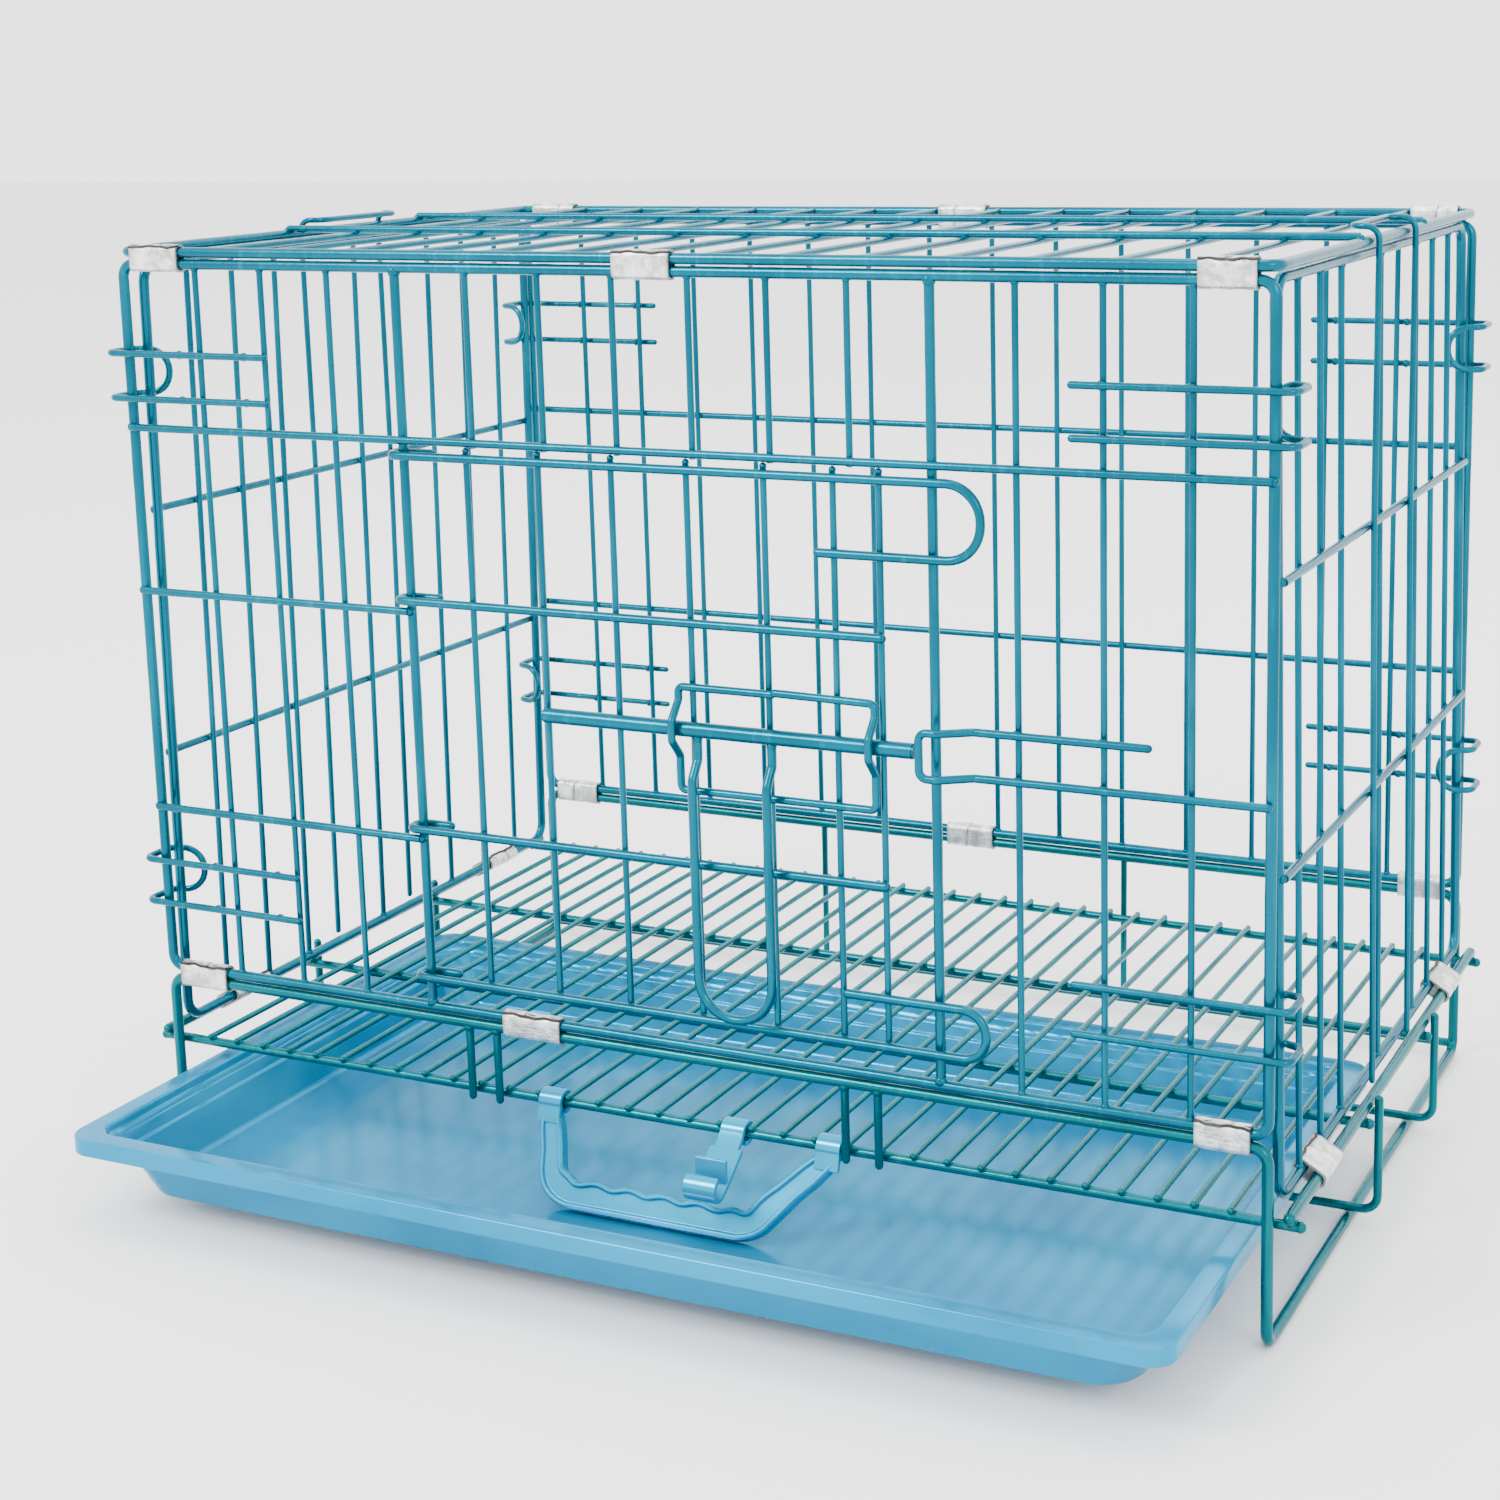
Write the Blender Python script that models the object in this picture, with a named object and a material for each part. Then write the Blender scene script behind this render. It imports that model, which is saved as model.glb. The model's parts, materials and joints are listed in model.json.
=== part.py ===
"""Folding wire rabbit cage with a hinged door, slide bolt, floor grate and pull-out tray.

Metres, +Z up, +X to the right of the front panel, -Y the front. The origin is on the
floor under the middle of the assembled cage, with the tray drawn partly out.
"""

import math

import bmesh
import bpy
from mathutils import Matrix, Vector

# Driving dimensions of the cage.
CAGE_WIDTH = 0.470          # between the centres of the left and right corner posts
CAGE_DEPTH = 0.299          # between the centres of the front and back panels
BASE_RAIL_Z = 0.0748        # centre of the base frame's upper rails
PANEL_BOTTOM_Z = 0.0794     # centre of the bottom rail of the front and back panels
PANEL_TOP_Z = 0.3714        # centre of the top rail of the front and back panels
ROOF_Z = 0.3760             # centre of the top panel's frame
GRATE_Z = 0.0460            # centre of the grate's cross wires
TRAY_PULL = 0.0815          # how far the tray stands out of the front at rest
GAP = 0.0003                # clearance left between pieces that touch

# Wire gauges, as radii.
FRAME_R = 0.0021            # loop round each panel
BASE_R = 0.0022             # base frame
ROD_R = 0.0023              # side rods of the grate
POST_R = 0.0019             # door hinge post and strike post
DOOR_R = 0.00175            # door's cross bars
HOOK_R = 0.0014             # corner spring hooks
LOOP_R = 0.00125            # lock loops
GUIDE_R = 0.00175           # tray guides
BRACKET_R = 0.00155         # latch bracket and catch
BOLT_R = 0.0029             # slide bolt
PULL_R = 0.0018             # bolt's handle
WIRE_HALF = 0.0011          # half width of the thin infill wires
BAR_HALF = 0.0014           # half width of the cross bars on the panels
CROSS_HALF = 0.00175        # half width of the grate's cross wires
WELD = 0.0005               # how far two welded wires sink into each other

# Places worked out from the driving dimensions.
POST_X = CAGE_WIDTH / 2
PANEL_Y = CAGE_DEPTH / 2
CENTRE_Y = 0.03818          # from the middle of cage and tray to the cage's own middle
SIDE_X = POST_X + 0.0015    # hinge lines of the side panels, through their bottom rails
SIDE_LEAN = 0.0043          # how far in of the hinge line a side panel's top rail stands
SIDE_Z = 0.0529
SIDE_TOP_Z = 0.3712
SIDE_Y = PANEL_Y - 0.0085    # posts of the side panels, clear of the door's hooked bars
ROD_X = POST_X + 0.0072
ROD_Z = GRATE_Z + CROSS_HALF + ROD_R - WELD
RUNNER_Z = BASE_R * math.cos(math.pi / 8)

# Radii that the wires are bent to.
FRAME_BEND = 0.0055
BASE_BEND = 0.0060
SIDE_BEND = 0.0080
HOOK_BEND = 0.0040
LOBE_BEND = 0.0087
LOOP_BEND = 0.0050

# Infill of the panels.
FRONT_FIRST_X = -0.1996
FRONT_PITCH = 0.0313
FRONT_COUNT = 14
BACK_COUNT = 14
SIDE_PITCH = 0.0287
SIDE_COUNT = 9
GRATE_PITCH = 0.01339
GRATE_COUNT = 34
FRONT_BAR_Z = (0.3062, 0.2396, 0.1488)
BACK_BAR_Z = (0.2757, 0.1763)
SIDE_BAR_Z = (0.2710, 0.1690)
ROOF_BAR_Y = (-0.0420, 0.0560)
GRATE_CROSS_Y = (-0.1450, -0.0485, 0.0485, 0.1450)

# Corner hooks: where each arm starts, and how far the inner lobe reaches from the turn.
HOOK_END_X = 0.1660
HOOK_TURN_X = POST_X + 0.0080
HOOK_LOBE_X = 0.0135
HOOK_LOBE_Y = 0.0045

# Door and latch.
DOOR_HOOK_REACH = 0.0042    # from the hinge post to the bars bent round it
DOOR_TAIL = 0.0100          # end of each bent bar, past the hinge post
DOOR_TOP_RETURN = (0.0708, 0.0270, 0.0130)
DOOR_LOW_RETURN = (0.0787, 0.0185, 0.0090)
HINGE_X = FRONT_FIRST_X + 3 * FRONT_PITCH
STRIKE_X = FRONT_FIRST_X + 10 * FRONT_PITCH
DOOR_Y = -PANEL_Y - 0.0042
DOOR_WIRE_Y = DOOR_Y + DOOR_R + WIRE_HALF - WELD
DOOR_BAR_Z = (0.3005, 0.2442, 0.1532, 0.0925)
DOOR_WIRE_X = (-0.0764, -0.0451, -0.0138, 0.0175, 0.0488, 0.0761, 0.0939)
DOOR_RIGHT_X = 0.1330
BOLT_Y = DOOR_WIRE_Y - WIRE_HALF - GAP - BOLT_R
BOLT_Z = 0.2050
BOLT_LENGTH = 0.1520
BOLT_X = -0.0440            # tail of the bolt, drawn back clear of the catch
BRACKET_Y = DOOR_WIRE_Y - WIRE_HALF - GAP - BRACKET_R
BRACKET_X = (0.0130, 0.0920)
BRACKET_Z = (0.1815, 0.2205)
PULL_X = (0.0210, 0.0514)
PULL_BOTTOM_Z = 0.0970

# Catch on the front panel.
CATCH_Z = (0.2133, 0.1967)
CATCH_LEFT_X = STRIKE_X - 0.0020
CATCH_RIGHT_X = 0.1930

# Tray.
TRAY_HALF_X = 0.2264
TRAY_LENGTH = 0.2650
TRAY_TOP_Z = 0.0370
TRAY_FRONT_Y = -PANEL_Y - TRAY_PULL
TRAY_GUIDE_Y = (-0.0380, 0.0570)
TRAY_GUIDE_Z = 0.0066
TRAY_BOTTOM_Z = TRAY_GUIDE_Z + GUIDE_R + GAP
TRAY_GUIDE_X = ROD_X + ROD_R + GUIDE_R + GAP

# Plastic handle and buckle on the grate's front wire.
GRIP_LEFT_X = -4 * GRATE_PITCH
GRIP_RIGHT_X = 5 * GRATE_PITCH
GRIP_LOW_X = (-0.0440, 0.0400)
GRIP_REACH = 0.0350
GRIP_R = 0.0048
GRIP_BEND = 0.0120
GRIP_LEAN = math.radians(32)
BUCKLE_X = 2 * GRATE_PITCH
STRAP_HALF = 0.0068
BUCKLE_LEAN = math.radians(57)
SNAP_WIDTH = 0.0100
SNAP_INNER_R = 0.0029
SNAP_WALL = 0.0020

PAINT = (0.03, 0.33, 0.45)


def clear_scene():
    for obj in list(bpy.data.objects):
        bpy.data.objects.remove(obj)


def make_material(name, colour, roughness, metallic):
    material = bpy.data.materials.new(name)
    material.use_nodes = True
    shader = material.node_tree.nodes["Principled BSDF"]
    shader.inputs["Base Color"].default_value = (*colour, 1.0)
    shader.inputs["Roughness"].default_value = roughness
    shader.inputs["Metallic"].default_value = metallic
    return material


def bent(points, radius, steps=3, closed=False):
    """The route through the points with each corner rounded to an arc of its own or a shared radius."""
    route = []
    count = len(points)
    radii = radius if isinstance(radius, list) else [radius] * count
    for index, corner in enumerate(points):
        corner = Vector(corner)
        if not closed and index in (0, count - 1):
            route.append(corner)
            continue
        before = (Vector(points[index - 1]) - corner).normalized()
        after = (Vector(points[(index + 1) % count]) - corner).normalized()
        angle = before.angle(after)
        run = radii[index] / math.tan(angle / 2)
        centre = corner + (before + after).normalized() * (radii[index] / math.sin(angle / 2))
        start = corner + before * run - centre
        turn = math.pi - angle
        axis = start.cross(corner + after * run - centre).normalized()
        for step in range(steps + 1):
            route.append(centre + Matrix.Rotation(turn * step / steps, 3, axis) @ start)
    return route


def ring_at(point, tangent, normal, radius, sides, stretch=None):
    """One ring of the tube. A stretch of (direction, factor) makes the mitre at a bend."""
    side = tangent.cross(normal)
    ring = []
    for step in range(sides):
        angle = 2 * math.pi * (step + 0.5) / sides
        offset = (normal * math.cos(angle) + side * math.sin(angle)) * radius
        if stretch:
            direction, factor = stretch
            offset += direction * offset.dot(direction) * (factor - 1)
        ring.append(point + offset)
    return ring


def add_tube(mesh, route, radius, sides=8, closed=False):
    """Adds a tube of constant gauge along the route, with flat sides facing the axes."""
    route = [Vector(point) for point in route]
    count = len(route)
    runs = [(route[(i + 1) % count] - route[i]).normalized() for i in range(count)]
    tangent = runs[0]
    normal = Vector((0, 0, 1)) if abs(tangent.z) < 0.9 else Vector((1, 0, 0))
    normal = (normal - tangent * normal.dot(tangent)).normalized()
    rings = []
    for index in range(count):
        first_end = index == 0 and not closed
        last_end = index == count - 1 and not closed
        come = runs[0] if first_end else runs[index - 1]
        leave = runs[index - 1] if last_end else runs[index]
        swing = tangent.rotation_difference((come + leave).normalized())
        middle = (come + leave).normalized()
        normal = swing @ normal
        normal = (normal - middle * normal.dot(middle)).normalized()
        tangent = middle
        stretch = None
        if come.dot(leave) < 0.9999:
            direction = (leave - come).normalized()
            stretch = (direction, 1 / math.cos(come.angle(leave) / 2))
        ring = ring_at(route[index], middle, normal, radius, sides, stretch)
        rings.append([mesh.verts.new(point) for point in ring])
    pairs = list(zip(rings, rings[1:]))
    if closed:
        pairs.append((rings[-1], rings[0]))
    for low, high in pairs:
        for step in range(sides):
            after = (step + 1) % sides
            mesh.faces.new((low[step], low[after], high[after], high[step]))
    if not closed:
        mesh.faces.new(list(reversed(rings[0])))
        mesh.faces.new(rings[-1])


def add_bar(mesh, start, end, half):
    """Adds a straight wire of square section, its sides facing the axes."""
    add_tube(mesh, (start, end), half * math.sqrt(2), sides=4)


def finish_object(name, mesh, material, parent=None, smooth=True):
    """Turns the bmesh into an object. A parented object keeps its place in the world."""
    bmesh.ops.recalc_face_normals(mesh, faces=mesh.faces)
    data = bpy.data.meshes.new(name)
    mesh.to_mesh(data)
    mesh.free()
    if smooth:
        data.shade_smooth()
        data.set_sharp_from_angle(angle=math.radians(50))
    obj = bpy.data.objects.new(name, data)
    bpy.context.scene.collection.objects.link(obj)
    if material:
        data.materials.append(material)
    if parent:
        obj.parent = parent
        if parent is not cage:
            obj.location = -parent.location
    return obj


def weld_on(obj, name, mesh):
    """Joins a helper's solids to the object with a union."""
    helper = finish_object(f"{obj.name}_{name}", mesh, None, obj.parent, smooth=False)
    helper.location = obj.location
    helper.hide_render = True
    helper.display_type = "WIRE"
    union = obj.modifiers.new(name, "BOOLEAN")
    union.operation = "UNION"
    union.object = helper
    return union


def make_pivot(name, place, parent):
    """An empty on a joint's axis, which carries the moving piece."""
    pivot = bpy.data.objects.new(name, None)
    pivot.empty_display_size = 0.02
    bpy.context.scene.collection.objects.link(pivot)
    pivot.parent = parent
    pivot.location = place
    return pivot


def front_wire_x():
    return [FRONT_FIRST_X + FRONT_PITCH * step for step in range(FRONT_COUNT)]


def spread(count, pitch):
    return [pitch * (step - (count - 1) / 2) for step in range(count)]


def panel_loop(y, low, high):
    """Frame of a front or back panel."""
    corners = [(-POST_X, y, low), (POST_X, y, low), (POST_X, y, high), (-POST_X, y, high)]
    return bent(corners, FRAME_BEND, closed=True)


def make_base_frame(material):
    mesh = bmesh.new()
    corners = []
    for x, y in ((-1, -1), (1, -1), (1, 1), (-1, 1)):
        upper = (x * POST_X, y * PANEL_Y, BASE_RAIL_Z)
        lower = (x * POST_X, y * PANEL_Y, RUNNER_Z)
        corners += [upper, lower] if x == y * -1 else [lower, upper]
    add_tube(mesh, bent(corners, BASE_BEND, closed=True), BASE_R, closed=True)
    obj = finish_object("base_frame", mesh, material, cage)
    low_wire = bmesh.new()
    low_y = PANEL_Y - 0.0010
    low_z = 2 * RUNNER_Z + CROSS_HALF - WELD
    add_bar(low_wire, (-POST_X, low_y, low_z), (POST_X, low_y, low_z), CROSS_HALF)
    weld_on(obj, "low_back_wire", low_wire)
    struts = bmesh.new()
    for x in (-0.0890, -0.0764, 0.0746, 0.0880):
        add_bar(struts, (x, -PANEL_Y, BASE_RAIL_Z), (x, -PANEL_Y, GRATE_Z - 0.002), 0.0014)
    for x in (-0.0770, 0.0793):
        add_bar(struts, (x, PANEL_Y, BASE_RAIL_Z), (x, low_y, low_z), 0.0013)
    weld_on(obj, "struts", struts)
    return obj


def make_grate(material):
    mesh = bmesh.new()
    for side in (-1, 1):
        reach = GRATE_CROSS_Y[-1] + 0.0025
        add_tube(mesh, ((side * ROD_X, -reach, ROD_Z), (side * ROD_X, reach, ROD_Z)), ROD_R)
    obj = finish_object("floor_grate", mesh, material, cage)
    cross = bmesh.new()
    for y in GRATE_CROSS_Y:
        add_bar(cross, (-ROD_X - 0.0032, y, GRATE_Z), (ROD_X + 0.0032, y, GRATE_Z), CROSS_HALF)
    weld_on(obj, "cross_wires", cross)
    thin = bmesh.new()
    thin_z = GRATE_Z + CROSS_HALF + WIRE_HALF - WELD
    reach = GRATE_CROSS_Y[-1] + 0.0012
    for x in spread(GRATE_COUNT, GRATE_PITCH):
        add_bar(thin, (x, -reach, thin_z), (x, reach, thin_z), WIRE_HALF)
    weld_on(obj, "floor_wires", thin)
    return obj


def make_tray_guide(name, y, material):
    mesh = bmesh.new()
    top = ROD_Z + ROD_R
    corners = [(-TRAY_GUIDE_X, y, top), (-TRAY_GUIDE_X, y, TRAY_GUIDE_Z)]
    corners += [(TRAY_GUIDE_X, y, TRAY_GUIDE_Z), (TRAY_GUIDE_X, y, top)]
    add_tube(mesh, bent(corners, BASE_BEND), GUIDE_R)
    return finish_object(name, mesh, material, cage)


def make_front_panel(material):
    mesh = bmesh.new()
    add_tube(mesh, panel_loop(-PANEL_Y, PANEL_BOTTOM_Z, PANEL_TOP_Z), FRAME_R, closed=True)
    obj = finish_object("front_panel", mesh, material, cage)
    posts = bmesh.new()
    for x in (HINGE_X, STRIKE_X):
        add_tube(posts, ((x, -PANEL_Y, PANEL_BOTTOM_Z), (x, -PANEL_Y, PANEL_TOP_Z)), POST_R)
    weld_on(obj, "door_posts", posts)
    thin = bmesh.new()
    for x in front_wire_x():
        if x in (HINGE_X, STRIKE_X):
            continue
        low = FRONT_BAR_Z[0] if HINGE_X < x < STRIKE_X else PANEL_BOTTOM_Z
        add_bar(thin, (x, -PANEL_Y, low), (x, -PANEL_Y, PANEL_TOP_Z), WIRE_HALF)
    weld_on(obj, "wires", thin)
    bars = bmesh.new()
    bar_y = -PANEL_Y - WIRE_HALF - BAR_HALF + WELD
    for z in FRONT_BAR_Z:
        end = POST_X if z == FRONT_BAR_Z[0] else HINGE_X
        add_bar(bars, (-POST_X, bar_y, z), (end, bar_y, z), BAR_HALF)
    weld_on(obj, "bars", bars)
    return obj


def make_back_panel(material):
    mesh = bmesh.new()
    add_tube(mesh, panel_loop(PANEL_Y, PANEL_BOTTOM_Z, PANEL_TOP_Z), FRAME_R, closed=True)
    obj = finish_object("back_panel", mesh, material, cage)
    thin = bmesh.new()
    for x in spread(BACK_COUNT, CAGE_WIDTH / (BACK_COUNT + 1)):
        add_bar(thin, (x, PANEL_Y, PANEL_BOTTOM_Z), (x, PANEL_Y, PANEL_TOP_Z), WIRE_HALF)
    weld_on(obj, "wires", thin)
    bars = bmesh.new()
    bar_y = PANEL_Y + WIRE_HALF + BAR_HALF - WELD
    for z in BACK_BAR_Z:
        add_bar(bars, (-POST_X, bar_y, z), (POST_X, bar_y, z), BAR_HALF)
    weld_on(obj, "bars", bars)
    return obj


def make_top_panel(material):
    mesh = bmesh.new()
    corners = [(-POST_X, -PANEL_Y, ROOF_Z), (POST_X, -PANEL_Y, ROOF_Z)]
    corners += [(POST_X, PANEL_Y, ROOF_Z), (-POST_X, PANEL_Y, ROOF_Z)]
    add_tube(mesh, bent(corners, FRAME_BEND, closed=True), FRAME_R, closed=True)
    obj = finish_object("top_panel", mesh, material, cage)
    thin = bmesh.new()
    for x in front_wire_x():
        add_bar(thin, (x, -PANEL_Y, ROOF_Z), (x, PANEL_Y, ROOF_Z), WIRE_HALF)
    weld_on(obj, "wires", thin)
    bars = bmesh.new()
    bar_z = ROOF_Z + WIRE_HALF + BAR_HALF - WELD
    for y in ROOF_BAR_Y:
        add_bar(bars, (-POST_X, y, bar_z), (POST_X, y, bar_z), BAR_HALF)
    weld_on(obj, "bars", bars)
    return obj


def side_lean_x(z):
    """Distance of a side panel's plane from the middle of the cage at this height."""
    return SIDE_X - SIDE_LEAN * (z - SIDE_Z) / (SIDE_TOP_Z - SIDE_Z)


def make_side_panel(name, side, material, pivot):
    low_x = side * SIDE_X
    top_x = side * side_lean_x(SIDE_TOP_Z)
    mesh = bmesh.new()
    corners = [(low_x, -SIDE_Y, SIDE_Z), (low_x, SIDE_Y, SIDE_Z)]
    corners += [(top_x, SIDE_Y, SIDE_TOP_Z), (top_x, -SIDE_Y, SIDE_TOP_Z)]
    add_tube(mesh, bent(corners, SIDE_BEND, closed=True), FRAME_R, closed=True)
    obj = finish_object(name, mesh, material, pivot)
    thin = bmesh.new()
    for y in spread(SIDE_COUNT, SIDE_PITCH):
        if abs(abs(y) - SIDE_PITCH) > GAP:
            add_bar(thin, (low_x, y, SIDE_Z), (top_x, y, SIDE_TOP_Z), WIRE_HALF)
    weld_on(obj, "wires", thin)
    bars = bmesh.new()
    for z in SIDE_BAR_Z:
        bar_x = side * (side_lean_x(z) + WIRE_HALF + BAR_HALF - WELD)
        add_bar(bars, (bar_x, -SIDE_Y, z), (bar_x, SIDE_Y, z), BAR_HALF)
    weld_on(obj, "bars", bars)
    return obj


def make_lock_loop(name, side, material, pivot):
    """Two of the side's upright wires and the bar that snaps over the top panel's side rail."""
    set_out = WIRE_HALF + 2 * BAR_HALF - WELD + GAP + LOOP_R
    outer_x = POST_X + FRAME_R + LOOP_R + GAP
    over_x = POST_X - 0.0070
    low_z = SIDE_Z + FRAME_R + GAP
    leave_z = SIDE_BAR_Z[0] + BAR_HALF + LOOP_R
    over_z = ROOF_Z + FRAME_R + LOOP_R + 0.0020
    outline = [(side_lean_x(low_z) + set_out, low_z), (side_lean_x(leave_z) + set_out, leave_z)]
    outline += [(outer_x, over_z), (over_x, over_z)]
    corners = [(side * x, -SIDE_PITCH, z) for x, z in outline]
    corners += [(side * x, SIDE_PITCH, z) for x, z in reversed(outline)]
    mesh = bmesh.new()
    add_tube(mesh, bent(corners, LOOP_BEND, steps=2), LOOP_R, sides=5)
    return finish_object(name, mesh, material, pivot)


def stadium(first, second, radius, steps=4):
    """Points round two equal circles, in the plane across a clip."""
    along = (second - first).normalized()
    across = Vector((-along.y, along.x))
    points = []
    for centre, start in ((first, math.pi / 2), (second, -math.pi / 2)):
        for step in range(steps + 1):
            angle = start + math.pi * step / steps
            offset = along * math.cos(angle) + across * math.sin(angle)
            points.append(centre + offset * radius)
    return points


def make_clip(name, place, span, first, second, wire_r, material):
    """Sheet metal sleeve crimped round two parallel wires. place puts (s, a, b) in the cage."""
    steel = 0.0008
    mesh = bmesh.new()
    bore = (wire_r + GAP) / math.cos(math.pi / 8)
    inner = stadium(Vector(first), Vector(second), bore)
    outer = stadium(Vector(first), Vector(second), bore + steel)
    rings = []
    for s, profile in ((span[0], outer), (span[1], outer), (span[1], inner), (span[0], inner)):
        rings.append([mesh.verts.new(place(s, point)) for point in profile])
    for index in range(4):
        low = rings[index]
        high = rings[(index + 1) % 4]
        for step in range(len(low)):
            after = (step + 1) % len(low)
            mesh.faces.new((low[step], low[after], high[after], high[step]))
    return finish_object(name, mesh, material, cage)


def make_corner_hook(name, side, front, heights, material):
    """One bent wire: two arms outside the panel, round the posts, and a lobe inside."""
    outer_y = PANEL_Y + FRAME_R + HOOK_R + GAP
    inner_y = SIDE_Y - FRAME_R - HOOK_R - GAP
    upper, lower = heights
    plan = [(HOOK_END_X, outer_y), (HOOK_TURN_X, outer_y), (HOOK_TURN_X, inner_y)]
    plan += [(HOOK_TURN_X - HOOK_LOBE_X, inner_y - HOOK_LOBE_Y)]
    corners = [(side * x, front * y, upper) for x, y in plan]
    corners += [(side * x, front * y, lower) for x, y in reversed(plan)]
    bends = [HOOK_BEND] * 3 + [LOBE_BEND] * 2 + [HOOK_BEND] * 3
    mesh = bmesh.new()
    add_tube(mesh, bent(corners, bends), HOOK_R, sides=5)
    return finish_object(name, mesh, material, cage)


def make_door(material, pivot):
    """Door bars end in hooks round the hinge post; the top and bottom ones bend back on themselves."""
    reach = DOOR_HOOK_REACH
    mesh = bmesh.new()
    for index, z in enumerate(DOOR_BAR_Z):
        tail = [(HINGE_X + DOOR_TAIL, -PANEL_Y + reach, z), (HINGE_X - reach, -PANEL_Y + reach, z)]
        tail += [(HINGE_X - reach, DOOR_Y, z), (HINGE_X + 3 * DOOR_TAIL, DOOR_Y, z)]
        route = bent(tail, reach - GAP / 3, steps=4)
        if index in (0, 3):
            end_x, rise, bend = DOOR_LOW_RETURN if index else DOOR_TOP_RETURN
            back_z = z + rise if index else z - rise
            ends = [(DOOR_RIGHT_X, DOOR_Y, z), (DOOR_RIGHT_X, DOOR_Y, back_z), (end_x, DOOR_Y, back_z)]
            route += bent([route[-1]] + ends, bend, steps=5)[1:]
        else:
            route.append(Vector((DOOR_WIRE_X[-1] + WIRE_HALF, DOOR_Y, z)))
        add_tube(mesh, route, DOOR_R)
    obj = finish_object("door_panel", mesh, material, pivot)
    thin = bmesh.new()
    for x in DOOR_WIRE_X:
        low = (x, DOOR_WIRE_Y, DOOR_BAR_Z[-1] - WELD)
        add_bar(thin, low, (x, DOOR_WIRE_Y, DOOR_BAR_Z[0] + 0.0026), WIRE_HALF)
    weld_on(obj, "wires", thin)
    return obj


def make_latch_bracket(material, pivot):
    """Open loop of wire on the door, its sides bulging over the bolt."""
    left, right = BRACKET_X
    low, high = BRACKET_Z
    bulge_y = BOLT_Y - BOLT_R - GAP - BRACKET_R
    joint_x = 0.0520
    half_slit = 0.0005
    foot = 0.0105
    crown = 0.0035
    corners = [(joint_x + half_slit, BRACKET_Y, high)]
    for x, levels in ((right, (high, low)), (left, (low, high))):
        way = 1 if levels[0] > levels[1] else -1
        corners += [(x, BRACKET_Y, levels[0])]
        corners += [(x, BRACKET_Y, BOLT_Z + way * foot), (x, bulge_y, BOLT_Z + way * crown)]
        corners += [(x, bulge_y, BOLT_Z - way * crown), (x, BRACKET_Y, BOLT_Z - way * foot)]
        corners += [(x, BRACKET_Y, levels[1])]
    corners += [(joint_x - half_slit, BRACKET_Y, high)]
    mesh = bmesh.new()
    add_tube(mesh, bent(corners, 0.0022, steps=2), BRACKET_R, sides=6)
    return finish_object("latch_bracket", mesh, material, pivot)


def make_bolt(material, pivot):
    mesh = bmesh.new()
    tip_x = BOLT_X + BOLT_LENGTH
    add_tube(mesh, ((BOLT_X, BOLT_Y, BOLT_Z), (tip_x, BOLT_Y, BOLT_Z)), BOLT_R, sides=10)
    return finish_object("latch_bolt", mesh, material, pivot)


def make_bolt_handle(material, pivot):
    """U of wire under the bolt, stepping forward past the bracket."""
    front_y = BRACKET_Y - BRACKET_R - PULL_R - 0.0028
    top = BOLT_Z - BOLT_R - GAP
    step_bend = 0.0040
    low_bend = 0.0150
    outline = [(BOLT_Y, top), (BOLT_Y, BOLT_Z - 0.0110), (front_y, BOLT_Z - 0.0180)]
    outline += [(front_y, PULL_BOTTOM_Z)]
    left, right = PULL_X
    corners = [(left, y, z) for y, z in outline]
    corners += [(right, y, z) for y, z in reversed(outline)]
    bends = [step_bend] * 3 + [low_bend] * 2 + [step_bend] * 3
    mesh = bmesh.new()
    add_tube(mesh, bent(corners, bends), PULL_R)
    return finish_object("latch_handle", mesh, material, pivot)


def make_catch(material):
    """Hairpin on the front panel that the bolt's tip goes behind."""
    flat_y = -PANEL_Y - POST_R - GAP - BRACKET_R
    bulge_y = BOLT_Y - BOLT_R - GAP - BRACKET_R
    upper, lower = CATCH_Z
    flat_x = CATCH_LEFT_X + 0.0180
    crown_x = CATCH_LEFT_X + 0.0070
    corners = [(CATCH_RIGHT_X, flat_y, upper), (flat_x, flat_y, upper), (crown_x, bulge_y, upper)]
    corners += [(CATCH_LEFT_X, bulge_y, upper), (CATCH_LEFT_X, bulge_y, lower)]
    corners += [(crown_x, bulge_y, lower), (flat_x, flat_y, lower), (POST_X, flat_y, lower)]
    mesh = bmesh.new()
    add_tube(mesh, bent(corners, 0.0030, steps=2), BRACKET_R, sides=6)
    return finish_object("bolt_catch", mesh, material, cage)


def rounded_rectangle(half_x, low_y, high_y, radius, z, steps=4):
    points = []
    corners = ((half_x, high_y, 0), (-half_x, high_y, 1), (-half_x, low_y, 2), (half_x, low_y, 3))
    for x, y, quarter in corners:
        shift = radius if quarter > 1 else -radius
        centre = Vector((x - math.copysign(radius, x), y + shift, z))
        for step in range(steps + 1):
            angle = math.pi / 2 * (quarter + step / steps)
            points.append(centre + Vector((math.cos(angle), math.sin(angle), 0)) * radius)
    return points


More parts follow.
